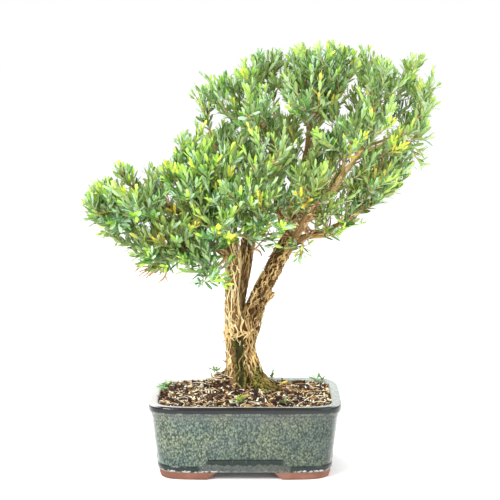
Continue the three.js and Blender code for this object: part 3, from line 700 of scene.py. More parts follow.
# Each leaf gets a random share of painted sheen, which the leaf material paints as a pale highlight.
for label, value in (("tone", leaf_tone), ("sheen", chance(shoots, 0.0, 1.0, entry["Seed"], 5.0))):
    toned = add(shoots, "GeometryNodeStoreNamedAttribute", {"Geometry": toned, "Name": label, "Value": value},
                domain="INSTANCE", data_type="FLOAT").outputs[0]
real = add(shoots, "GeometryNodeRealizeInstances", {"Geometry": toned}).outputs[0]
real = add(shoots, "GeometryNodeSetMaterial", {"Geometry": real, "Material": entry["Leaf"]}).outputs[0]
both = add(shoots, "GeometryNodeJoinGeometry")
for part in (real, wood):
    shoots.links.new(part, both.inputs[0])
shoots.links.new(both.outputs[0], leave.inputs["Piece"])


def leafy(piece, bark, **settings):
    return grow(piece, shoots, Leaves=leaves, Leaf=leaf_material, Bark=bark, **settings)


BARE = 2.0
print("nodes in leafy_shoots:", len(shoots.nodes))

# %% [markdown]
# ## The lines of a spray
#
# Each spray carries on from its side branch. Shoots leave it all round, by the golden angle, so that they
# never stand in rows. They are longer near the foot, and turn up to the light. A random generator with the
# spray's own seed varies them, so the tree is the same every time. Each shoot keeps a painted light level,
# which the leaf colour paints as shade: much light at the skin of the crown's two lobes, less inside them,
# at the top and in the old growth above the right stem, where the leaves also turn olive.

# %% Lines of a shoot
UP = np.array([0.0, 0.0, 1.0])
GOLDEN = math.pi * (3 - math.sqrt(5))
LOBES = np.array([(-118, 0, 350, 118, 105, 78), (105, 8, 450, 152, 118, 140)])
OLD_GROWTH_SHADE = {"x": 88, "z": 392, "wide": 62, "tall": 50}
TOP_FROM, TOP_FADE = 470, 60


# A painted light level, not the lamps' light: where it is low the leaves are painted darker and olive.
def light_at(point):
    reach = min(np.linalg.norm((point - lobe[:3]) / lobe[3:]) for lobe in LOBES)
    old_growth_shade = math.exp(-((point[0] - OLD_GROWTH_SHADE["x"]) / OLD_GROWTH_SHADE["wide"]) ** 2
                          - ((point[2] - OLD_GROWTH_SHADE["z"]) / OLD_GROWTH_SHADE["tall"]) ** 2)
    top = np.clip((point[2] - TOP_FROM) / TOP_FADE, 0, 1)
    return float(np.clip((reach - 0.45) / 0.5, 0.1, 1) * (1 - 0.7 * old_growth_shade) * (1 - 0.22 * top))


def wires(name, lines, tones=None):
    points, edges = [], []
    kept = {"thick": [], "share": [], "light": [], "tone": []}
    for number, (line, radii, shares) in enumerate(lines):
        first = len(points)
        points += list(place(line))
        kept["thick"] += list(np.asarray(radii) / 1000)
        kept["share"] += list(shares)
        kept["light"] += [light_at(line[-1])] * len(line)
        kept["tone"] += [tones[number] if tones else 0.5] * len(line)
        edges += [(first + i, first + i + 1) for i in range(len(line) - 1)]
    piece = mesh_piece(name, points, (), edges)
    for key, values in kept.items():
        keep(key, values, piece)
    return piece


def shoot_tones(lines, dice):
    return [0.5 + 0.4 * noise.noise(Vector(line[-1]) * 0.05) + dice.normal(0, 0.24) for line, _, _ in lines]


def sideways(along, angle):
    across = np.cross(along, UP if abs(along[2]) < 0.9 else np.array([1.0, 0, 0]))
    across /= np.linalg.norm(across)
    return math.cos(angle) * across + math.sin(angle) * np.cross(along, across)


def shoot_line(start, along, out, length, angle, rise, radius):
    aim = along * math.cos(angle) + out * math.sin(angle) + UP * rise
    aim /= np.linalg.norm(aim)
    t = np.linspace(0, 1, 6)[:, None]
    line = start + aim * length * t + UP * length * 0.2 * t * t
    return line, np.linspace(radius, radius * 0.45, 6), np.linspace(0, 1, 6)


# %% [markdown]
# ## Keeping the crown's outline
#
# Left to themselves the shoots would blur the crown into a ball. A few widths of the crown, measured at
# heights as the camera sees them, rein each shoot in. How far it stays inside is a lot drawn from the place
# of its tip, so that whole clumps stand out or hold back and the edge stays spiky. Shoots also keep out of
# round windows, where the real crown lets the sky through or bares a limb. A window ends with a depth, and
# only shoots nearer to the camera than that keep out of it.

# %% Outline and windows of the crown
CROWN_BOX = (np.array(cad_box) - POT_MIDDLE) * 1000 + np.array([[4.0], [-4.0]])
# A height and the crown's left and right edge there, as the camera sees them.
CROWN_OUTLINE = np.array([
    (262, -96, 26), (286, -122, 54), (296, -164, 64), (315, -192, 80), (338, -216, 142), (360, -226, 200),
    (383, -228, 226), (402, -218, 246), (408, -190, 249), (416, -114, 252), (440, -91, 258), (454, -66, 260),
    (465, -42, 262), (483, -35, 268), (499, -42, 276), (512, -50, 278), (527, -58, 278), (549, -50, 270),
    (571, -12, 256), (593, 56, 160)])
CLEAR = 999.0
# The place of a window as the camera sees it, its radius and its depth.
WINDOWS = np.array([
    (110, 476, 8, CLEAR), (186, 459, 9, CLEAR), (227, 449, 8, CLEAR), (-39, 292, 8, CLEAR),
    (141, 452, 8, CLEAR),
    (128, 338, 11, CLEAR), (206, 489, 6, CLEAR), (203, 473, 6, CLEAR), (80, 480, 7, CLEAR),
    (100, 492, 6, CLEAR),
    (-8, 296, 9, CLEAR), (-10, 281, 11, CLEAR), (-12, 265, 11, CLEAR), (-14, 249, 11, CLEAR),
    (5, 292, 10, CLEAR),
    (3, 276, 9, CLEAR),
    (138, 496, 6, CLEAR), (56, 497, 6, CLEAR), (229, 498, 6, CLEAR), (31, 440, 5, CLEAR),
    (160, 424, 4, CLEAR),
    (84, 430, 5, CLEAR), (118, 392, 9, -34), (132, 409, 9, -34),
    (146, 427, 9, -38), (160, 441, 8, -40), (176, 451, 8, -42), (192, 459, 7, -42), (206, 466, 6, -42),
    (-148, 273, 7, CLEAR), (-130, 270, 7, CLEAR), (-140, 281, 5, CLEAR), (-118, 266, 6, CLEAR)])
CROWN_TOP = 597
CLUMP = 12.0


def seen(points):
    return EYE + (points - EYE) * (EYE[1] / (EYE[1] - points[:, 1]))[:, None]


def inside_crown(line, margin):
    if np.any(line[-1] < CROWN_BOX[0]) or np.any(line[-1] > CROWN_BOX[1]):
        return False
    x, _, z = seen(line)[-1]
    lows, highs = (np.interp([z - 4, z, z + 0.8 * margin], CROWN_OUTLINE[:, 0], CROWN_OUTLINE[:, side])
                   for side in (1, 2))
    return z < CROWN_TOP - margin and lows.max() + margin < x < highs.min() - margin


def blocks_window(line):
    flat = seen(line)[:, [0, 2]]
    gap = np.linalg.norm(flat[:, None] - WINDOWS[None, :, :2], axis=2) - WINDOWS[None, :, 2]
    return bool(np.any((gap < 0) & (line[:, 1:2] < WINDOWS[None, :, 3])))


def edge_margin(tip):
    x, _, z = np.floor(seen(tip[None])[0] / CLUMP)
    lot = math.sin(x * 12.9898 + z * 78.233) * 43758.5453 % 1
    return -3 + 24 * lot if lot < 0.3 else 8 + 36 * (lot - 0.3)


def reined_shoot(start, along, out, length, angle, rise, radius):
    for part in (1.0, 0.8, 0.6, 0.42, 0.28):
        shoot = shoot_line(start, along, out, length * part, angle, rise, radius)
        if inside_crown(shoot[0], edge_margin(shoot[0][-1])) and not blocks_window(shoot[0]):
            return [shoot]
    return [] if blocks_window(shoot[0]) else [shoot]


# %% Lines for every spray
def side_shoots(twig, parts, dice, length):
    made = []
    for part in parts:
        ahead = twig[0][part + 1] - twig[0][part]
        ahead /= np.linalg.norm(ahead)
        out = sideways(ahead, dice.uniform(0, 6.3))
        made += reined_shoot(twig[0][part], ahead, out, length * dice.uniform(0.75, 1.25),
                             dice.uniform(0.6, 1.0), 0.5, 0.7)
    return made


def spray_lines(path, dice, count=7):
    shares = np.linspace(WOOD_SHARE - 0.06, 1.0, 10)
    lines = [(path.points(shares), np.linspace(1.7, 0.7, 10), np.linspace(0.1, 1, 10))]
    for k in range(count):
        at = 0.02 + 0.86 * (k + 0.6 * dice.random()) / count
        share = WOOD_SHARE + (1 - WOOD_SHARE) * at
        start, along = path.points(share)[0], path.tangents(share)[0]
        out = sideways(along, GOLDEN * k + dice.uniform(-0.4, 0.4))
        length = (48 - 14 * at) * dice.uniform(0.85, 1.15)
        for twig in reined_shoot(start, along, out, length, dice.uniform(0.75, 1.1), 0.35, 1.0):
            lines += [twig, *side_shoots(twig, (1, 3), dice, 29)]
    return lines


def leaf_size(name):
    return 0.92 if name.startswith("left") else 0.82


leaf_count = 0
for number, (name, path) in enumerate(branches.items()):
    dice = np.random.default_rng(100 + number)
    lines = spray_lines(path, dice)
    spray = wires("foliage_" + name, lines, shoot_tones(lines, dice))
    leafy(spray, twig_material, Seed=10 * number, Leaf_size=leaf_size(name))
    leaf_count += sum(1 for p in spray.data.polygons if len(p.vertices) == 3) // 4
    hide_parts("spray_" + name)
    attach(spray, "root")
print("leaves:", leaf_count, "triangles in the last spray:", triangles(spray))

# %% [markdown]
# ## Filling the crown
#
# Between the sprays the limbs bear small twigs of their own, thin and leafless at the foot, with leaves where
# light still reaches. They close the crown and give it its tangle of fine wood. Where the real crown has
# foliage that no spray covers, a twig reaches for that place.


# %% Small twigs on the limbs
def limb_twigs(line, dice, count):
    path = smooth_line(line)
    lines = []
    for k in range(count):
        share = 0.3 + 0.68 * (k + 0.5 * dice.random()) / count
        start, along = path.points(share)[0], path.tangents(share)[0]
        out = sideways(along, GOLDEN * k + dice.uniform(-0.4, 0.4))
        for twig in reined_shoot(start, along, out, 64 * dice.uniform(0.8, 1.25),
                                 dice.uniform(0.8, 1.2), 0.3, 1.1):
            lines += [twig, *side_shoots(twig, (2, 3, 4), dice, 32)]
    return lines


REACHES = {
    "right_low": [(76, -18, 300), (80, -6, 306), (196, -10, 410), (218, 0, 424), (206, 30, 400),
                  (190, 16, 384), (160, -20, 366), (132, 12, 350), (122, -14, 338), (140, -34, 348),
                  (174, -40, 374), (226, 10, 440), (228, -16, 426)],
    "right_mid": [(244, -30, 464), (242, -14, 446), (238, -50, 434), (226, 20, 446), (214, -24, 452),
                  (150, -60, 470), (120, -30, 500), (112, 20, 520)],
    "right_up": [(142, -20, 554), (134, -34, 536), (150, 10, 566), (56, -24, 520), (48, 8, 534),
                 (100, -34, 438), (86, -38, 420), (108, -30, 462), (92, -40, 398), (118, 10, 510),
                 (126, -16, 532), (104, 30, 486), (60, -30, 520), (96, -40, 556)],
    "right_back": [(150, 40, 520), (210, 40, 540), (250, 20, 530)],
    "left_low": [(-42, -30, 312), (-32, -34, 320), (-52, -34, 304), (-104, -62, 340), (-90, -56, 328),
                 (-118, -58, 326), (-150, -20, 300), (-176, 10, 316), (-126, -26, 284), (-112, 14, 282),
                 (-100, -24, 330), (-80, -30, 306), (-62, -12, 330), (-140, -40, 292)],
    "left_main": [(-46, -24, 358), (-62, -48, 358), (-78, -54, 350), (-208, 4, 346), (-196, -20, 334),
                  (-218, 14, 372), (-118, 10, 340), (-214, -20, 352)],
    "left_up": [(-58, -20, 478), (-84, -30, 462)],
    "center_up": [(-38, -6, 502), (-46, 14, 512), (-66, 10, 530), (-58, 30, 548)],
    "center_front": [(-6, -34, 342), (4, -32, 350), (-20, -36, 346), (14, -16, 326), (30, -10, 322),
                     (2, -24, 330), (-30, -60, 360)],
}


def reaching_twigs(line, tips, dice):
    path = smooth_line(line)
    spots = path.points(np.linspace(0.2, 1, 40))
    lines = []
    for tip in tips:
        start = spots[int(np.argmin(np.linalg.norm(spots - np.array(tip), axis=1)))]
        t = np.linspace(0, 1, 7)[:, None]
        twig = (start + (np.array(tip) - start) * t + UP * 10 * (t * t - t), np.linspace(1.5, 0.7, 7),
                np.linspace(0, 1, 7))
        lines += [twig, *side_shoots(twig, (2, 3, 4, 4, 5, 5), dice, 30)]
    return lines


for number, (name, (line, _)) in enumerate(LIMBS.items()):
    dice = np.random.default_rng(400 + number)
    count = max(4, int(smooth_line(line).length / 16))
    lines = limb_twigs(line, dice, count) + reaching_twigs(line, REACHES.get(name, []), dice)
    inner = wires("inner_twigs_" + name, lines, shoot_tones(lines, dice))
    leafy(inner, twig_material, Seed=1000 + 10 * number, Bare_foot=0.3, Leaf_size=leaf_size(name))
    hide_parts("trunk")
    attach(inner, "root")
print("triangles in the last set of twigs:", triangles(inner))

# %% [markdown]
# ## The limbs
#
# Between the stems and the sprays the wood is as thin as a pencil, with a slight sway and knots. The same
# tree of nodes sweeps these lines, and a bare foot longer than the line leaves all its leaves off. The limb
# that shows most is thinner and paler than the others.

# %% Limbs and the bare feet of the side branches
bark_material, bark_tree, bark_shader = material("stringy_bark", 0.85, Specular_IOR_Level=0.1)


def swayed(points, amount):
    sway = np.array([noise.noise_vector(Vector(p) * 0.045) for p in points])
    fade = np.sin(np.linspace(0, math.pi, len(points)))[:, None]
    return points + sway * amount * fade


PALE_LIMB = "right_mid"
limb_lines, limb_rows = [], {}
for key, (line, _) in LIMBS.items():
    path, radius = smooth_line(line), radius_along(line)
    shares = np.linspace(0, 1, 26)
    uneven = np.array([noise.noise(Vector(p) * 0.11) for p in path.points(shares)])
    knots = (0.72 if key == PALE_LIMB else 0.84) + 0.1 * uneven
    limb_lines.append((swayed(path.points(shares), 3.0), radius(shares) * knots, shares * 0.2))
    limb_rows[key] = [(*spot, girth) for spot, girth in zip(limb_lines[-1][0], limb_lines[-1][1])]
for path in branches.values():
    shares = np.linspace(0, WOOD_SHARE, 8)
    limb_lines.append((path.points(shares), np.linspace(2.6, 1.7, 8), shares * 0.6))
limb_tones = [0.7 if key == PALE_LIMB else 0.32 for key in limb_rows] + [0.5] * len(branches)
limbs = wires("limbs", limb_lines, limb_tones)
leafy(limbs, bark_material, Sides=9, Bare_foot=BARE)
smooth(limbs)
print("limb triangles:", triangles(limbs))

# %% [markdown]
# ## The trunk
#
# The bark of this old tree has split into stringy ridges that run up the stems and cross each other. Each
# ridge is a thin rod that winds a little round its stem. Hundreds of them over a plain core, melted together
# by a voxel remesh, give the interlaced surface as real relief. The hollow at the front is then pressed in,
# and its inside is painted dark with shade. The finest fibres are left to the material.

# %% Ridges round a stem
def frames_along(path, shares):
    tangents = path.tangents(shares)
    fronts = np.array([0.0, -1.0, 0.0]) + tangents * tangents[:, 1:2]
    fronts /= np.linalg.norm(fronts, axis=1, keepdims=True)
    return path.points(shares), fronts, np.cross(tangents, fronts)


def ridges(line, dice, spacing, thickness, twist):
    path, radius = smooth_line(line), radius_along(line)
    shares = np.linspace(0, 1, 14)
    made = [(path.points(shares), radius(shares) * 0.82, shares)]
    count = int(2 * math.pi * float(np.mean(radius(shares))) / spacing)
    for layer, way in enumerate((1.0, -0.6)):
        for k in range(count):
            start = dice.uniform(0, 0.25) if layer else 0.0
            end = dice.uniform(0.7, 1.0)
            t = np.linspace(start, end, 22)
            middle, front, side = frames_along(path, t)
            wander = 0.2 * np.sin(t * dice.uniform(5, 12) + dice.uniform(0, 6.3))
            angle = 2 * math.pi * (k + dice.uniform(-0.3,
                                                    0.3)) / count + way * twist * path.length * t + wander
            out = front * np.cos(angle)[:, None] + side * np.sin(angle)[:, None]
            lift = radius(t) * dice.uniform(0.76, 0.86) + 0.6 * np.sin(t * dice.uniform(9, 20))
            swell = thickness * dice.uniform(0.5, 1.1) * (0.75 + 0.25 * np.sin(t * dice.uniform(10, 25)))
            taper = np.clip(np.minimum(t - start, end - t) * 9, 0.25, 1)
            made.append((middle + out * lift[:, None], swell * taper, t))
    return made


MELT_VOXEL = 0.00122
FLARE = [(2, 3, 168, 8), (8, 0, 148, 11), (16, -2, 130, 9.5), (30, -4, 116, 7), (52, -6, 107, 3)]
dice = np.random.default_rng(11)
rods_of_wood = ridges(FLARE, dice, 5.0, 2.0, 0.004)
for line in STEMS.values():
    rods_of_wood += ridges(line, dice, 5.5, 2.0, 0.006)
for degrees, reach, girth in ROOTS:
    turn = np.array([math.cos(math.radians(degrees)), math.sin(math.radians(degrees))])
    front = 0.8 if -140 < degrees < -30 else 1.0
    line = [(TRUNK[0] + reach * part * turn[0], TRUNK[1] + reach * part * turn[1], z, girth * share * front)
            for part, z, share in ROOT_FALL]
    rods_of_wood += ridges(line, dice, 6.0, 1.9, 0.012)
for line in SNAGS:
    rods_of_wood += ridges(line, dice, 5.0, 1.2, 0.01)
wood = wires("trunk_wood", rods_of_wood)
leafy(wood, bark_material, Sides=7, Bare_foot=BARE)
melt = wood.modifiers.new("melt", "REMESH")
melt.mode, melt.voxel_size, melt.use_smooth_shade = "VOXEL", MELT_VOXEL, True
ease = wood.modifiers.new("ease", "SMOOTH")
ease.factor, ease.iterations = 0.5, 1
settle(wood)
print("ridges:", len(rods_of_wood), "triangles:", triangles(wood))

# %% Press in the hollow, paint shade inside it and mark where moss grows
def coordinates(piece):
    flat = np.empty(3 * len(piece.data.vertices), np.float32)
    piece.data.vertices.foreach_get("co", flat)
    return (flat.reshape(-1, 3).astype(float) - POT_MIDDLE) * 1000


MOSS_TUFT = np.array([24, -2, 212])
PALE_STUMP = np.array([37, 6, 242])
hollow, hollow_radius = smooth_line(HOLLOW), radius_along(HOLLOW)
hollow_shares = np.linspace(0, 1, 60)
hollow_points = hollow.points(hollow_shares)


def hollow_depth(spots):
    away = np.linalg.norm(spots[:, None] - hollow_points[None], axis=2)
    nearest = np.argmin(away, axis=1)
    return hollow_radius(hollow_shares[nearest]) - away[np.arange(len(spots)), nearest]


def moss_cover(spots):
    damp = np.array([noise.noise(Vector(s) * 0.07) for s in spots])
    x, _, z = spots.T
    flare = np.clip((x + 2) / 14, 0, 1) * np.clip((150 - z) / 12, 0, 1)
    groove = np.clip(hollow_depth(spots) / 6 + 1.35, 0, 1) * np.clip((188 - z) / 10, 0, 1)
    foot = np.clip((124 - z) / 16, 0, 1) * 0.6
    tuft = np.clip(1.5 - np.linalg.norm(spots - MOSS_TUFT, axis=1) / 7, 0, 1)
    return np.clip(1.15 * np.max([flare, groove, foot, tuft], axis=0) + 0.8 * damp - 0.2, 0, 1)


spots = coordinates(wood)
in_front = spots[:, 1] < 6
pressed = np.maximum(hollow_depth(spots) + 1.5, 0) * in_front
# How deep a point lies in the hollow, kept as depth for the painted shade there.
hollow_shade = np.clip((hollow_depth(spots) + 4.5) / 4, 0, 1) * in_front
spots[:, 1] += pressed * 1.2
wood.data.vertices.foreach_set("co", place(spots).astype(np.float32).ravel())
wood.data.update()
keep("moss", moss_cover(spots), wood)
snag = np.clip(1.6 - np.linalg.norm(spots - PALE_STUMP, axis=1) / 7, 0, 1)
keep("tone", 0.04 + 0.2 * np.clip((2 - spots[:, 0]) / 8, 0, 1) + 0.3 * snag, wood)
keep("depth", hollow_shade, wood)
print("points pressed in:", int((pressed > 0.5).sum()), "of", len(spots))

# %% [markdown]
# ## Strings of bark
#
# Over the ridges lies the bark itself, which has dried into pale strings that cross, split and come loose at
# their ends, with dark gaps between them. The strings are short lines that wander round each stem, the lower
# limbs, the flare and the stumps. Bristles stick out between them, and a collar of strings runs round the top
# of the trunk. The tree of nodes for shoots sweeps them all. Each string keeps a tone of its own.


# %% Strings, flakes and bristles
def strings(line, dice, spacing, girth, length, wander, tone_range, even=1.0, curl=2.6):
    path, radius = smooth_line(line), radius_along(line)
    around = 2 * math.pi * float(np.mean(radius(np.linspace(0, 1, 9))))
    made, tones = [], []
    for _ in range(int(around * path.length / (spacing * length))):
        half = 0.5 * length * dice.uniform(0.5, 1.7) / path.length
        middle = dice.uniform(0, 1)
        t = np.linspace(max(0.0, middle - half), min(1.0, middle + half), 11)
        s = np.linspace(-1, 1, 11)
        centre, front, side = frames_along(path, t)
        angle = (dice.uniform(0, 2 * math.pi) + dice.normal(0, wander) * s
                 + 0.1 * np.sin(s * dice.uniform(2, 7) + dice.uniform(0, 6.3)))
        out = front * np.cos(angle)[:, None] + side * np.sin(angle)[:, None]
        off = radius(t) * dice.uniform(0.92, 1.02) + 0.5 + curl * dice.random() ** 3 * np.abs(s) ** 5
        spots = centre + out * off[:, None]
        if hollow_depth(spots[5:6])[0] > -3.5 and spots[5, 1] < 4 and dice.random() < 0.93:
            continue
        made.append((spots, girth * dice.uniform(0.45, 1.25) * (1 - 0.8 * np.abs(s) ** 3), t))
        tones.append(tone_range[0] + (tone_range[1] - tone_range[0]) * dice.beta(even, even))
    return made, tones


def bristles(line, dice, count):
    path, radius = smooth_line(line), radius_along(line)
    made = []
    for t in dice.uniform(0.05, 0.95, count):
        centre, front, side = frames_along(path, np.array([t]))
        angle = dice.uniform(0, 2 * math.pi)
        out = front[0] * math.cos(angle) + side[0] * math.sin(angle)
        lean = path.tangents(np.array([t]))[0] * dice.choice([-1, 1]) * dice.uniform(1, 3) + out
        start = centre[0] + out * float(radius(t)) * 0.97
        end = start + lean / np.linalg.norm(lean) * dice.uniform(4, 9)
        thick = dice.choice([0.35, 0.9])
        made.append((np.linspace(start, end, 4) + out * np.array([[0], [0.5], [0.7], [0.4]]),
                     thick * np.array([1, 0.95, 0.7, 0.3]), np.linspace(0, 1, 4)))
    return made, list(dice.uniform(0.4, 1, count))


# Spacing, girth, length, wander, range of tones, how even the tones are and how far the ends curl away.
STEM_STRINGS = {
    "base": (2.5, 1.4, 26, 0.14, (0.16, 1.0), 0.8, 3.0),
    "left_front": (1.9, 1.15, 26, 0.28, (0.42, 1.0), 0.9, 2.6),
    "left_back": (2.3, 1.2, 24, 0.3, (0.08, 0.55), 1.0, 2.6),
    "right": (1.9, 1.3, 13, 0.24, (0.03, 0.68), 0.8, 3.6),
}
COLLAR_HEIGHT, COLLAR_RADIUS = 187, 20.0
bark_lines, bark_tones = [], []


def lay(made):
    bark_lines.extend(made[0])
    bark_tones.extend(made[1])


for key, settings in STEM_STRINGS.items():
    lay(strings(STEMS[key], dice, *settings))
    lay(bristles(STEMS[key], dice, 70))
for key in ("left_low", "left_main", "left_up", "right_up", "right_mid", "right_low"):
    tones = (0.45, 1.0) if key == PALE_LIMB else (0.15, 0.8)
    lay(strings(limb_rows[key][:20], dice, 3.0, 0.9, 15, 0.3, tones, 0.8, 3.0))
lay(strings(FLARE, dice, 2.8, 1.4, 22, 0.14, (0.0, 0.6)))
lay(strings(FLARE[:3], dice, 3.2, 1.5, 20, 0.14, (0.4, 1.0)))
for _ in range(16):
    s = np.linspace(-1, 1, 14)
    angle = dice.uniform(-1.7, 0.9) + s * dice.uniform(0.2, 0.6)
    reach = COLLAR_RADIUS + dice.uniform(0, 3.0)
    z = (COLLAR_HEIGHT + 5 * angle + dice.uniform(-3, 3) + s * dice.uniform(-2, 4)
         + 1.2 * np.sin(s * 5 + dice.uniform(0, 6)) + 4 * (1 - np.cos(angle)))
    ring = np.column_stack([TRUNK[0] + reach * np.sin(angle), TRUNK[1] - reach * np.cos(angle), z])
    bark_lines.append((ring, 1.2 * dice.uniform(0.4, 1.1) * (1 - 0.7 * np.abs(s) ** 3),
                       np.linspace(0, 1, 14)))
    bark_tones.append(dice.uniform(0.2, 0.9))
for line in SNAGS:
    lay(strings(line, dice, 2.0, 0.8, 9, 0.2, (0.2, 0.9)))
bark = wires("bark_strings", bark_lines, bark_tones)
leafy(bark, bark_material, Bare_foot=BARE)
smooth(bark)
keep("moss", 0.85 * moss_cover(coordinates(bark)), bark)
print("strings:", len(bark_lines), "triangles:", triangles(bark))

# %% Bark material
BARE_SCAR = [14, -8, 157]
tree, shader = bark_tree, bark_shader
streaks = use(tree, mottle, Vector=stretched(tree, here(tree), (1.0, 1.0, 0.16)), Scale=520.0, Detail=5.0,
              From=0.3, To=0.7)
fine = use(tree, mottle, Vector=stretched(tree, here(tree), (1.0, 1.0, 0.4)), Scale=1500.0, Detail=4.0)
straw = ramp(tree, attribute(tree, "tone"), [(0.0, (50, 34, 18)), (0.3, (130, 96, 52)),
                                             (0.6, (222, 184, 114)), (1.0, (255, 238, 186))])
skin = blend(tree, times(tree, streaks, 0.36), straw, colour(100, 72, 40))
skin = blend(tree, times(tree, times(tree, fine, attribute(tree, "tone")), 0.3), skin, colour(250, 234, 196))
mossy = times(tree, attribute(tree, "moss"), use(tree, mottle, Vector=here(tree), Scale=300.0, From=0.25,
                                                 To=0.5))
moss_shade = blend(tree, use(tree, mottle, Vector=here(tree), Scale=330.0, From=0.42, To=0.58),
                   colour(42, 46, 22), colour(146, 140, 66))
skin = blend(tree, times(tree, mossy, 0.9), skin, moss_shade)
# Painted shade: the inside of the hollow is darkened nearly to black.
skin = blend(tree, times(tree, attribute(tree, "depth"), 0.94), skin,
             blend(tree, streaks, colour(16, 18, 10), colour(58, 58, 34)))
from_scar = add(tree, "ShaderNodeVectorMath", {0: here(tree), 1: tuple(place(BARE_SCAR))},
                operation="DISTANCE").outputs["Value"]
fresh = times(tree, ranged(tree, from_scar, (0.004, 0.012), (0.4, 0.0)),
              plus(tree, times(tree, streaks, 0.6), 0.4))
skin = blend(tree, fresh, skin, colour(252, 206, 128))
tree.links.new(skin, shader.inputs["Base Color"])
bump(tree, shader, plus(tree, streaks, times(tree, fine, 0.6)), 0.6, 0.0006)
for piece in (wood, bark, limbs):
    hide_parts("trunk")
    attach(piece, "root")
    print(piece.name, sorted(a.name for a in piece.data.attributes if not a.name.startswith(".")))

# %% [markdown]
# ## Dead twigs
#
# Old shoots that lost the light have died back to brown stubs, which show most under the left of the crown
# and on the bare stems. A thicket of them fills the old growth above the right stem.

# %% Dead twigs
DEAD_TWIGS = [
    [(-24, 5, 180), (-28, 4, 184), (-32, 3, 192)], [(-25, 5, 143), (-29, 4, 146), (-32, 3, 149)],
    [(-24, 4, 263), (-27, 3, 264), (-30, 2, 267)], [(-24, 4, 256), (-27, 3, 256), (-29, 2, 258)],
    [(3, 24, 296), (14, 18, 306), (28, 12, 322)], [(14, 18, 306), (20, 16, 303), (24, 15, 296)],
    [(8, 20, 235), (10, 17, 246), (15, 14, 244)],
    [(-104, -14, 300), (-122, -20, 290), (-146, -30, 280)],
    [(-106, -12, 299), (-124, -24, 286), (-140, -34, 274)],
    [(-104, -10, 298), (-120, -14, 284), (-134, -20, 272)],
    [(-108, -16, 300), (-128, -14, 294), (-150, -20, 284)],
    [(-104, -8, 297), (-116, -10, 284), (-126, -16, 276)],
    [(-112, -18, 296), (-130, -26, 288), (-142, -30, 287)],
    [(-108, -14, 296), (-110, -18, 276), (-113, -20, 268), (-123, -22, 261)],
    [(-111, -19, 272), (-108, -20, 266)],
    [(-110, -12, 298), (-134, -26, 282), (-148, -32, 274)],
    [(-106, -10, 296), (-128, -18, 280), (-138, -22, 269)],
    [(-110, -16, 300), (-136, -24, 292), (-154, -26, 279)],
    [(-102, -12, 296), (-112, -16, 284), (-119, -18, 274)],
    [(190, -30, 460), (188, -34, 430), (176, -36, 408)],
]
# From which share of each limb to which the thicket stands, and with how many twigs.
THICKET = {
    "right_low": (0.05, 0.6, 26), "right_mid": (0.05, 0.4, 18), "right_front": (0.1, 0.9, 16),
    "right_up": (0.05, 0.35, 8), "back": (0.05, 0.6, 10), "center_front": (0.1, 0.7, 10),
    "left_main": (0.05, 0.4, 10),
}
dice = np.random.default_rng(51)
thicket = []
for key, stand in THICKET.items():
    for spot in smooth_line(LIMBS[key][0]).points(dice.uniform(*stand)):
        aim = np.array([dice.uniform(-0.9, 0.9), dice.uniform(-1.2, 0.2), dice.uniform(0.2, 1.0)])
        bend = dice.normal(0, 0.4, 3)
        reach = dice.uniform(18, 42)
        thicket.append([tuple(spot + aim * reach * t + bend * reach * t * t) for t in (0, 0.5, 1)])
dead_lines = []
for line in DEAD_TWIGS + thicket:
    path = smooth_line([(*p, 1) for p in line])
    shares = np.linspace(0, 1, 8)
    kinks = np.array([noise.noise_vector(Vector(p) * 0.15) for p in path.points(shares)]) * 1.4
    dead_lines.append((path.points(shares) + kinks, np.linspace(1.9, 0.75, 8), shares * 0.2))
dead = wires("dead_twigs", dead_lines)
leafy(dead, twig_material, Bare_foot=BARE)
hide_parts("trunk")
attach(dead, "root")
print("dead twigs:", len(dead_lines), "triangles:", triangles(dead))

# %% [markdown]
# ## The pot
#
# The pot is a cut-foot rectangle with softly bowed sides. It is drawn as a net: columns run round it, closer
# than the eye can count, and rows run from the floor inside, up the wall, over the rim, down the outside and
# under the foot. The lower rows follow the foot's cut and the apron's step, so that these edges come out of
# the net itself.

# %% The pot's outline and its rows
COLUMNS = 360
WALL_FOOT, WALL_TOP = 11, 90
DRAIN_REACH, DRAIN_RADIUS = 62, 0.011
RIM, BODY_TOP, BODY_BOTTOM = (134, 103), (130.5, 99.5), (119.5, 89)


def outline(half_width, half_depth):
    t = np.linspace(0, 2 * math.pi, 4001)[:-1]
    x = half_width * np.sign(np.cos(t)) * np.abs(np.cos(t)) ** (2 / 6.5)
    y = half_depth * np.sign(np.sin(t)) * np.abs(np.sin(t)) ** (2 / 6.5)
    closed = np.column_stack([np.append(x, x[0]), np.append(y, y[0])])
    run = np.concatenate([[0], np.cumsum(np.linalg.norm(np.diff(closed, axis=0), axis=1))])
    even = np.linspace(0, run[-1], COLUMNS + 1)[:-1]
    return np.column_stack([np.interp(even, run, closed[:, 0]), np.interp(even, run, closed[:, 1])])


def body_at(z):
    t = (z - WALL_FOOT) / (WALL_TOP - WALL_FOOT)
    return [BODY_BOTTOM[k] + (BODY_TOP[k] - BODY_BOTTOM[k]) * t for k in (0, 1)]


base = outline(*BODY_BOTTOM)
on_long = np.abs(base[:, 1]) > 82
place_along = np.where(on_long, np.abs(base[:, 0]), np.abs(base[:, 1]))
gap_half = np.where(on_long, 40, 27)
apron_half = np.where(on_long, 56, 38)
foot = np.clip((gap_half + 13 - place_along) / 13, 0, 1) * 10.8
apron = 19 + 10 * np.clip((apron_half - place_along) / 5, 0, 1)


def row(half, z, inset=0.0):
    ring = outline(*half) * (1 - inset / np.array(half))
    return np.column_stack([ring, np.broadcast_to(np.asarray(z, float), COLUMNS)])


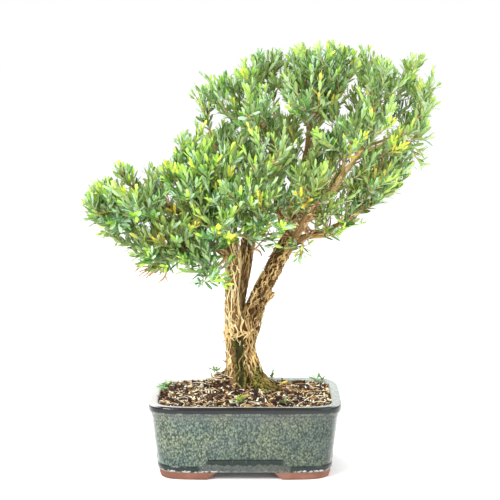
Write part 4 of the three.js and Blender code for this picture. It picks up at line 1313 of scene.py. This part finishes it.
def wall_row(z, proud=0.0):
    z = np.broadcast_to(np.asarray(z, float), COLUMNS)
    low_ring, high_ring = outline(*BODY_BOTTOM), outline(*BODY_TOP)
    t = ((z - WALL_FOOT) / (WALL_TOP - WALL_FOOT))[:, None]
    ring = low_ring + (high_ring - low_ring) * t
    normal = np.roll(ring, -1, axis=0) - np.roll(ring, 1, axis=0)
    normal = np.column_stack([normal[:, 1], -normal[:, 0]])
    normal /= np.linalg.norm(normal, axis=1, keepdims=True)
    return np.column_stack([ring + normal * np.broadcast_to(proud, COLUMNS)[:, None], z])


def foot_z(share):
    return foot + (WALL_FOOT - foot) * share


def net_faces(count):
    faces = []
    for r in range(count - 1):
        for c in range(COLUMNS):
            a, b = r * COLUMNS + c, r * COLUMNS + (c + 1) % COLUMNS
            faces.append((a, b, b + COLUMNS, a + COLUMNS))
    return [*faces, range(COLUMNS - 1, -1, -1), range((count - 1) * COLUMNS, count * COLUMNS)]


rows = [row(BODY_BOTTOM, 11.0, 15.6), row(BODY_BOTTOM, foot_z(0.92), 15.0),
        row(BODY_BOTTOM, foot_z(0.06), 14.4),
        row(BODY_BOTTOM, foot, 13.4), row(BODY_BOTTOM, foot, 2.8), row(BODY_BOTTOM, foot_z(0.06), 1.8),
        row(BODY_BOTTOM, foot_z(0.5), 0.3), row(BODY_BOTTOM, foot_z(0.96), 0.0)]
first_wall_row = len(rows)
rows += [wall_row(11.2, 0.6), wall_row(11.9, 1.5), wall_row(13.2, 1.8), wall_row(apron - 3.4, 1.8),
         wall_row(apron - 1.6, 1.75), wall_row(apron - 0.8, 1.5), wall_row(apron - 0.2, 0.95),
         wall_row(apron + 0.3, 0.35), wall_row(apron + 1.0, 0.0), wall_row(apron + 2.2, -0.1)]
rows += [wall_row(apron + 3.6 + (83 - apron - 3.6) * k / 11, 0.4 * math.sin(math.pi * k / 11))
         for k in range(12)]
rows += [wall_row(84.0, 0.1), wall_row(84.8, 0.55), wall_row(88.5, 0.65), row(RIM, 91.0, 3.0)]
last_wall_row = len(rows)
rows += [row(RIM, 92.2, 1.2), row(RIM, 93.6, 0.3), row(RIM, 96.0, 0.0), row(RIM, 100.5, 0.0),
         row(RIM, 102.3, 0.35), row(RIM, 103.4, 1.2), row(RIM, 104.0, 2.6), row(RIM, 104.0, 6.5),
         row(RIM, 103.8, 10.0), row(RIM, 103.2, 12.0), row(RIM, 101.8, 13.2), row(RIM, 98.0, 13.6)]
rows += [row(BODY_TOP, 90.0, 10.0), row(body_at(60), 60.0, 10.0), row(BODY_BOTTOM, 24.0, 10.2),
         row(BODY_BOTTOM, 21.2, 11.4), row(BODY_BOTTOM, 20.5, 15.0)]
outer_rows = len(rows) - 10
over_step = np.full((len(rows), COLUMNS), 60.0)
for number in range(first_wall_row, last_wall_row):
    over_step[number] = rows[number][:, 2] - apron
inner, underneath = np.zeros((2, len(rows), COLUMNS))
inner[outer_rows:] = 1.0
underneath[:3] = 1.0
print("rows:", len(rows), "columns:", COLUMNS)

# %% Close the net, drill the drain holes and let the hand-made wobble in
net = np.vstack(rows)
wobble = np.array([noise.noise_vector(Vector(p) * 0.018) for p in net])
net += wobble * 0.7 * np.clip(net[:, 2:3] / 20, 0, 1) * np.array([1, 1, 0.35])
pot = mesh_piece("glazed_pot", place(net), net_faces(len(rows)))
for label, values in (("over_step", over_step), ("inner", inner), ("underneath", underneath)):
    keep(label, values, pot)
drills = bmesh.new()
for x in (-DRAIN_REACH, DRAIN_REACH):
    made = bmesh.ops.create_cone(drills, cap_ends=True, segments=40, radius1=DRAIN_RADIUS,
                                 radius2=DRAIN_RADIUS, depth=0.05)
    bmesh.ops.translate(drills, verts=made["verts"], vec=Vector(place([x, 0, 15])))
drill_mesh = bpy.data.meshes.new("drills")
drills.to_mesh(drill_mesh)
drills.free()
drill = bpy.data.objects.new("drills", drill_mesh)
bpy.context.scene.collection.objects.link(drill)
cut = pot.modifiers.new("drain_holes", "BOOLEAN")
cut.operation, cut.object, cut.solver = "DIFFERENCE", drill, "EXACT"
settle(pot)
bpy.data.objects.remove(drill)
smooth(pot)
pot.data.set_sharp_from_angle(angle=math.radians(50))
print("pot triangles:", triangles(pot))

# %% [markdown]
# ## The glaze
#
# The glaze is a mottled green over grey. While it melted it broke into small pale cells and ran down in faint
# streaks. It pooled, dark and glossy, on the step of the base band and under the rim's edge, but hardly on
# the slanting ends of the apron. It thinned to white where it stopped above the feet and on the lip, and left
# the clay of the feet bare. Light is painted in too: a pale highlight on the rim's top that grows whiter
# towards the left, shade that darkens the face towards the right, and shade on the clay under the pot. The
# pot's mesh keeps how high each point lies over the band's step, so that the pools follow it, and which rows
# make the lip and the inside or lie under the feet.

# %% Glaze and bare clay
APRON_END = 0.0575
glaze_material, tree, shader = material("celadon_glaze", 0.22, Coat_Weight=0.3, Coat_Roughness=0.1,
                                        Specular_IOR_Level=0.3)
spot = here(tree)
apart = add(tree, "ShaderNodeSeparateXYZ", {0: spot})
streaks = use(tree, mottle, Vector=stretched(tree, spot, (1.0, 1.0, 0.1)), Scale=190.0, Detail=5.0, From=0.35,
              To=0.65)
clouds = use(tree, mottle, Vector=spot, Scale=24.0, Detail=5.0, From=0.35, To=0.65)
blues = use(tree, mottle, Vector=summed(tree, spot, add(tree, "ShaderNodeCombineXYZ", {"Y": 3.0}).outputs[0]),
            Scale=36.0, Detail=4.0, From=0.54, To=0.7)
bent = summed(tree, spot, scaled(tree, add(tree, "ShaderNodeTexNoise", {
    "Vector": spot, "Scale": 260.0}).outputs["Color"], 0.003))
cell = add(tree, "ShaderNodeTexVoronoi", {"Vector": stretched(tree, bent, (1.0, 1.0, 0.7)), "Scale": 430.0})
pale = ranged(tree, cell.outputs["Distance"], (0.3, 0.74), (1.0, 0.0))
lot = add(tree, "ShaderNodeSeparateColor", {0: cell.outputs["Color"]}).outputs[0]
strength = ranged(tree, lot, result=(0.35, 1.0))
net = blend(tree, clouds, colour(28, 48, 46), colour(42, 56, 46))
net = blend(tree, times(tree, streaks, 0.5), net, colour(40, 58, 50))
centres = blend(tree, clouds, colour(114, 132, 116), colour(142, 150, 122))
ground = blend(tree, times(tree, pale, strength), net, centres)
ground = blend(tree, times(tree, blues, 0.2), ground, colour(74, 90, 104))
lilac = use(tree, above, Vector=spot, Level=0.083, Blend=0.008, Ragged=0.012, Scale=60.0)
ground = blend(tree, times(tree, lilac, 0.25), ground, colour(104, 98, 98))
step = attribute(tree, "over_step")
band = ranged(tree, step, (0.0, 1.0), (0.6, 0.0))
ground = blend(tree, band, ground, colour(78, 78, 76))
curtain = add(tree, "ShaderNodeTexNoise", {"Vector": stretched(tree, spot, (1.0, 1.0, 0.0)), "Scale": 150.0,
                                           "Detail": 2.0}).outputs["Fac"]
drip = times(tree, minus(tree, curtain, 0.5), 8.0)
pool = times(tree, ranged(tree, plus(tree, step, drip), (-7.9, -6.5)),
             ranged(tree, step, (0.6, 1.3), (1.0, 0.0)))
from_middle = calc(tree, "ABSOLUTE", minus(tree, apart.outputs["X"], float(POT_MIDDLE[0])))
from_end = calc(tree, "ABSOLUTE", minus(tree, from_middle, APRON_END))
pool = times(tree, pool, ranged(tree, from_end, (0.003, 0.007), (0.15, 1.0)))
pool_shade = blend(tree, use(tree, mottle, Vector=spot, Scale=260.0), colour(0, 10, 6), colour(8, 38, 28))
ground = blend(tree, times(tree, pool, 0.95), ground, pool_shade)
rim = use(tree, above, Vector=spot, Level=0.0958, Blend=0.001, Ragged=0.003, Scale=70.0)
# The lip is pale where the glaze thins over the rim, and the rim's top is painted pale as a highlight.
ragged = plus(tree, attribute(tree, "inner"), times(tree, drip, 0.12))
beside = ranged(tree, apart.outputs["Y"], (-0.098, -0.09))
crest = use(tree, above, Vector=spot, Level=0.1026, Blend=0.0006, Ragged=0.001)
pale_lip_and_top_highlight = calc(tree, "MAXIMUM", ranged(tree, ragged, (0.2, 0.5)), times(tree, beside, crest))
dark = blend(tree, use(tree, above, Vector=spot, Level=0.0982, Blend=0.002, Ragged=0.003), colour(4, 14, 24),
             colour(16, 8, 8))
ground = blend(tree, rim, ground, dark)
# Painted shade: the glaze is darkened towards the right, away from the key lamp.
right = ranged(tree, apart.outputs["X"], (-0.09, 0.11), (0.0, 0.42))
ground = blend(tree, right, ground, colour(30, 38, 38))
# Painted highlight: the lip turns whiter towards the left, where the key lamp glares.
painted_glare_left = ranged(tree, apart.outputs["X"], (-0.13, 0.06), (0.55, 0.0))
lip_colour_and_glare = blend(tree, painted_glare_left, blend(tree, pale, colour(130, 142, 136), colour(180, 186, 180)),
                  colour(232, 226, 224))
ground = blend(tree, pale_lip_and_top_highlight, ground, lip_colour_and_glare)
middle = ranged(tree, calc(tree, "ABSOLUTE", apart.outputs["X"]), (0.045, 0.06), (0.2, 0.85))
thick_glaze = use(tree, above, Vector=spot, Level=0.0132, Blend=0.001, Ragged=0.006, Scale=240.0)
patches = use(tree, mottle, Vector=spot, Scale=170.0, Detail=4.0, From=0.44, To=0.54)
white = times(tree, minus(tree, 1.0, thick_glaze), patches)
ground = blend(tree, times(tree, white, middle), ground, colour(196, 198, 200))
glazed = use(tree, above, Vector=spot, Level=0.0106, Blend=0.0006, Ragged=0.0012, Scale=140.0)
shaded = attribute(tree, "underneath")
bare = calc(tree, "MAXIMUM", minus(tree, 1.0, glazed), shaded)
clay = blend(tree, use(tree, mottle, Vector=spot, Scale=60.0), colour(126, 84, 68), colour(142, 100, 84))
# Painted shade: the clay under the pot is darkened.
clay = blend(tree, times(tree, shaded, 0.8), clay, colour(44, 34, 32))
tree.links.new(blend(tree, bare, ground, clay), shader.inputs["Base Color"])
tree.links.new(ranged(tree, bare, result=(0.22, 0.85)), shader.inputs["Roughness"])
tree.links.new(ranged(tree, bare, result=(0.3, 0.0)), shader.inputs["Coat Weight"])
bump(tree, shader, plus(tree, pale, streaks), 0.2, 0.0004)
pot.data.materials.clear()
pot.data.materials.append(glaze_material)
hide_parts("pot")
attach(pot, "root")
print("glaze nodes:", len(tree.nodes))

# %% Plastic drain screens keep their solids
screen_material, tree, shader = material("screen_plastic", 0.5)
tree.links.new(blend(tree, use(tree, mottle, Vector=here(tree), Scale=400.0), colour(30, 30, 30),
                     colour(52, 50, 46)), shader.inputs["Base Color"])
for name in ("drain_screen_left", "drain_screen_right"):
    screen = frame["nodes"][name]
    screen.data.materials.clear()
    screen.data.materials.append(screen_material)
print("screens:", screen.name)

# %% [markdown]
# ## The soil
#
# The soil is a coarse mix: dark bark, pale wood chips, grit and orange fibres. A bed fills the pot and rises
# towards the trunk. Geometry nodes then scatter a few chip shapes over it, turned and sized at random, each
# with a tone of its own.


# %% The bed
def smoothstep(value, low, high):
    t = np.clip((value - low) / (high - low), 0, 1)
    return t * t * (3 - 2 * t)


HEAP = (-34, 3, 29, 21)


def bed_height(flat):
    away = np.hypot(flat[:, 0] - TRUNK[0], flat[:, 1] - TRUNK[1])
    heap = np.hypot(flat[:, 0] - HEAP[0], flat[:, 1] - HEAP[1]) / HEAP[2]
    top = 107 - 7.5 * smoothstep(away, 50, 104) + 3.5 * (1 - smoothstep(away, 22, 50))
    top += HEAP[3] * (1 - smoothstep(heap, 0, 1))
    return top + np.array([noise.noise(Vector((*p, 3.0)) * 0.06) for p in flat]) * 1.8


def bed_row(half, inset, squeeze, level=None):
    flat = row(half, 0.0, inset)[:, :2] * squeeze
    return np.column_stack([flat, bed_height(flat) if level is None else np.full(COLUMNS, float(level))])


bed_rows = [bed_row(BODY_BOTTOM, 12.0, 1.0, 20.9), bed_row(body_at(84), 10.4, 1.0, 84.0)]
bed_rows += [bed_row(body_at(84), 10.4, s) for s in np.linspace(1.0, 0.02, 40)]
bed = mesh_piece("soil_bed", place(np.vstack(bed_rows)), net_faces(len(bed_rows)))
print("bed triangles:", triangles(bed))

# %% Chip shapes
def chip_set(name, sizes, dice, count=14):
    made = bpy.data.collections.new(name)
    for number, size in enumerate(sizes):
        cloud = dice.normal(size=(count, 3))
        cloud = cloud / np.linalg.norm(cloud, axis=1, keepdims=True) * np.array(size)
        if size[0] > 8:
            cloud[:, 2] += 0.03 * cloud[:, 0] ** 2
        shape = bmesh.new()
        for p in cloud:
            shape.verts.new(p / 1000)
        hull = bmesh.ops.convex_hull(shape, input=shape.verts)
        bmesh.ops.delete(shape, geom=[v for v in hull["geom_interior"] if isinstance(v, bmesh.types.BMVert)],
                         context="VERTS")
        chip_mesh = bpy.data.meshes.new(f"{name}_{number}")
        shape.to_mesh(chip_mesh)
        shape.free()
        made.objects.link(bpy.data.objects.new(f"{name}_{number}", chip_mesh))
    return made


dice = np.random.default_rng(21)
lumps = chip_set("lump", [(7.2, 4.8, 2.6), (5.8, 4.4, 3.0), (4.8, 3.6, 2.6), (8.2, 3.6, 2.0)], dice)
chips = chip_set("chip", [(6.0, 3.2, 1.0), (4.6, 3.4, 1.2), (3.4, 2.6, 1.4), (7.6, 1.8, 0.9)], dice, 12)
fibres = chip_set("fibre", [(7.5, 0.5, 0.4), (5.6, 0.45, 0.35), (6.4, 0.6, 0.3)], dice, 10)

# %% The tree that scatters pieces over a surface
scatter, entry, leave = group(
    "GeometryNodeTree", "scatter_on_top",
    {"Ground": GEOMETRY, "Shapes": ("Collection", None), "Density": ("Float", 60000.0),
     "Smallest": ("Float", 0.5), "Largest": ("Float", 1.4), "Tilt": ("Float", 0.6), "Darkest": ("Float", 0.0),
     "Palest": ("Float", 1.0), "Seed": ("Int", 1), "Finish": ("Material", None)},
    {"Piece": "Geometry"})
facing = add(scatter, "ShaderNodeSeparateXYZ",
             {0: add(scatter, "GeometryNodeInputNormal").outputs[0]}).outputs["Z"]
spots_on = add(scatter, "GeometryNodeDistributePointsOnFaces", {
    "Mesh": entry["Ground"], "Selection": calc(scatter, "GREATER_THAN", facing, 0.4),
    "Density": entry["Density"],
    "Seed": entry["Seed"]})
lean = times(scatter, entry["Tilt"], -1.0)
turned = add(scatter, "ShaderNodeCombineXYZ", {
    "X": chance(scatter, lean, entry["Tilt"], entry["Seed"], 1.0),
    "Y": chance(scatter, lean, entry["Tilt"], entry["Seed"], 2.0),
    "Z": chance(scatter, 0.0, 6.283, entry["Seed"], 3.0)}).outputs[0]
laid = add(scatter, "GeometryNodeInstanceOnPoints", {
    "Points": spots_on.outputs["Points"],
    "Instance": add(scatter, "GeometryNodeCollectionInfo", {
        "Collection": entry["Shapes"], "Separate Children": True, "Reset Children": True}).outputs[0],
    "Pick Instance": True, "Rotation": add(scatter, "FunctionNodeEulerToRotation", {0: turned}).outputs[0],
    "Scale": chance(scatter, entry["Smallest"], entry["Largest"], entry["Seed"], 4.0)}).outputs[0]
toned = add(scatter, "GeometryNodeStoreNamedAttribute", {
    "Geometry": laid, "Name": "tone", "Value": chance(scatter, entry["Darkest"], entry["Palest"],
                                                      entry["Seed"],
                                                      5.0)},
    domain="INSTANCE", data_type="FLOAT").outputs[0]
real = add(scatter, "GeometryNodeRealizeInstances", {"Geometry": toned}).outputs[0]
real = add(scatter, "GeometryNodeSetMaterial", {"Geometry": real, "Material": entry["Finish"]}).outputs[0]
scatter.links.new(real, leave.inputs["Piece"])
print("nodes in scatter_on_top:", len(scatter.nodes))

# %% Soil colours, and the chips laid
soil_material, tree, shader = material("bark_chips", 0.85, Specular_IOR_Level=0.12)
crumbs = ramp(tree, attribute(tree, "tone"), [
    (0.0, (44, 30, 24)), (0.16, (78, 56, 46)), (0.3, (56, 44, 48)), (0.44, (108, 84, 64)),
    (0.53, (178, 140, 94)), (0.61, (244, 222, 172)), (0.73, (255, 248, 220)), (0.95, (232, 190, 110))],
    "CONSTANT")
grainy = use(tree, mottle, Vector=here(tree), Scale=700.0, Detail=4.0)
tree.links.new(blend(tree, times(tree, grainy, 0.26), crumbs, colour(60, 44, 38)),
               shader.inputs["Base Color"])
bump(tree, shader, grainy, 0.5, 0.0006)
dirt_material, tree, shader = material("damp_compost", 0.95, Specular_IOR_Level=0.1)
tree.links.new(blend(tree, use(tree, mottle, Vector=here(tree), Scale=300.0), colour(44, 32, 26),
                     colour(92, 68, 50)), shader.inputs["Base Color"])
bump(tree, shader, use(tree, mottle, Vector=here(tree), Scale=600.0), 0.8, 0.001)
bed.data.materials.append(dirt_material)
top_pieces = []
for name, shapes, settings in (
        ("soil_lumps", lumps, (21000.0, 0.4, 1.15, 0.5, 0.0, 0.62)),
        ("soil_chips", chips, (56000.0, 0.4, 1.2, 0.9, 0.15, 0.94)),
        ("soil_fibres", fibres, (9000.0, 0.6, 1.4, 0.35, 0.62, 1.0))):
    top = mesh_piece(name, [], ())
    top.data = bed.data.copy()
    grow(top, scatter, Shapes=shapes, Seed=3 + len(top_pieces), Finish=soil_material,
         **dict(zip(("Density", "Smallest", "Largest", "Tilt", "Darkest", "Palest"), settings)))
    top_pieces.append(top)
for piece in (bed, *top_pieces):
    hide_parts("soil")
    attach(piece, "root")
print("triangles:", {top.name: triangles(top) for top in top_pieces})

# %% [markdown]
# ## Fibres, sprouts and a fallen leaf
#
# Long curved fibres lie over the chips, many of them in the heap of litter left of the trunk. A few weeds
# have sprouted, and one yellow leaf has fallen. Fibres and weeds are lines for the shoot tree again, and the
# leaf is a copy of the first leaf shape.

# %% Fibres and sprouts
FIBRES, IN_HEAP = 170, 60
# Place and height of each sprout.
SPROUTS = [(-112, 30, 9), (-108, 36, 7), (-115, 24, 6), (-44, 6, 12), (-41, 8, 9), (39, 20, 18), (112, 76, 8),
           (106, 80, 6), (-10, -72, 5), (-4, -74, 5), (-52, 60, 6), (58, -66, 4)]
dice = np.random.default_rng(31)
lying, lying_tones = [], []
for k in range(FIBRES):
    if k < IN_HEAP:
        middle = np.array(HEAP[:2]) + dice.normal(0, 11, 2)
    else:
        middle = np.array([dice.uniform(-108, 108), dice.uniform(-78, 78)])
    way, bow = dice.uniform(0, 6.3), dice.uniform(-0.9, 0.9)
    s = np.linspace(-1, 1, 8)
    half = dice.uniform(4, 13)
    heading = way + bow * s
    steps = np.column_stack([np.cos(heading), np.sin(heading)]) * half * 0.28
    flat = middle + np.cumsum(steps, axis=0) - steps.sum(axis=0) / 2
    z = bed_height(flat).mean() + 2.0 + dice.uniform(-0.5, 2.5) * (1 - s * s)
    z += dice.uniform(-1, 3) * s * (k < IN_HEAP)
    lying.append((np.column_stack([flat, z]), dice.uniform(0.3, 0.55) * (1.1 - s * s * 0.6), (s + 1) / 2))
    lying_tones.append(dice.choice([0.5, 0.65, 0.75, 0.88, 0.97]))
fibre_lines = wires("soil_long_fibres", lying, lying_tones)
leafy(fibre_lines, soil_material, Bare_foot=BARE)
stalks = []
for x, y, height in SPROUTS:
    z = float(bed_height(np.array([[x, y]]))[0]) + 0.5
    lean = dice.normal(0, 1.5, 2)
    t = np.linspace(0, 1, 5)
    stalks.append((np.column_stack([x + lean[0] * t, y + lean[1] * t, z + height * t]), np.full(5, 0.35), t))
sprouts = wires("sprouts", stalks)
keep("light", np.full(len(sprouts.data.vertices), 0.35), sprouts)
leafy(sprouts, twig_material, Seed=77, Spacing=0.0012, Bare_foot=0.5, Leaf_size=0.7, Spread_at_foot=1.4,
      Spread_at_tip=1.2, Lift=0.1)
fallen = mesh_piece("fallen_leaf", [], ())
fallen.data = leaves.objects[0].data.copy()
lying_flat = Euler((0.5, -0.25, 0.6)).to_matrix().to_4x4() @ Matrix.Scale(0.7, 4)
fallen.data.transform(Matrix.Translation(Vector(place([50, 34, 108]))) @ lying_flat)
fallen.data.materials.append(leaf_material)
for label, value in (("share", 1.0), ("light", 1.0), ("tone", 1.4), ("sheen", 0.0)):
    keep(label, np.full(len(fallen.data.vertices), value), fallen)
for piece in (fibre_lines, sprouts, fallen):
    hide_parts("soil")
    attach(piece, "root")
print("triangles:", triangles(fibre_lines), triangles(sprouts))

# %% [markdown]
# ## Floor and light
#
# The photograph has no background and hardly a shadow. A white floor that runs far out, a white sky and two
# large soft lamps from the front sides give the same bright, even light.

# %% Studio
floor = mesh_piece("floor", [(-40, -40, 0), (40, -40, 0), (40, 40, 0), (-40, 40, 0)], [(0, 1, 2, 3)])
floor_material, tree, shader = material("floor_white", 0.9)
shader.inputs["Base Color"].default_value = (0.98, 0.98, 0.98, 1)
shader.inputs["Emission Color"].default_value = (1, 1, 1, 1)
shader.inputs["Emission Strength"].default_value = 0.04
floor.data.materials.append(floor_material)
world = bpy.data.worlds.new("studio")
bpy.context.scene.world = world
world.use_nodes = True
world.node_tree.nodes["Background"].inputs["Color"].default_value = (1, 1, 1, 1)
world.node_tree.nodes["Background"].inputs["Strength"].default_value = 1.0


def soft_lamp(name, spot, size, power):
    data = bpy.data.lights.new(name, "AREA")
    data.size, data.energy = size, power
    lamp = bpy.data.objects.new(name, data)
    lamp.location = spot
    lamp.rotation_euler = (Vector((0, 0, 0.3)) - Vector(spot)).to_track_quat("-Z", "Y").to_euler()
    bpy.context.scene.collection.objects.link(lamp)


soft_lamp("key", (-1.5, -1.9, 1.9), 1.0, 78)
soft_lamp("fill", (1.8, -1.5, 1.5), 1.6, 22)
soft_lamp("top", (0.1, 0.4, 2.4), 1.2, 40)
bpy.context.scene.view_settings.view_transform = "Standard"
print("lamps: 3")

# %% Tidy up and finish
for helper in [*leaves.objects, *lumps.objects, *chips.objects, *fibres.objects]:
    bpy.data.objects.remove(helper)
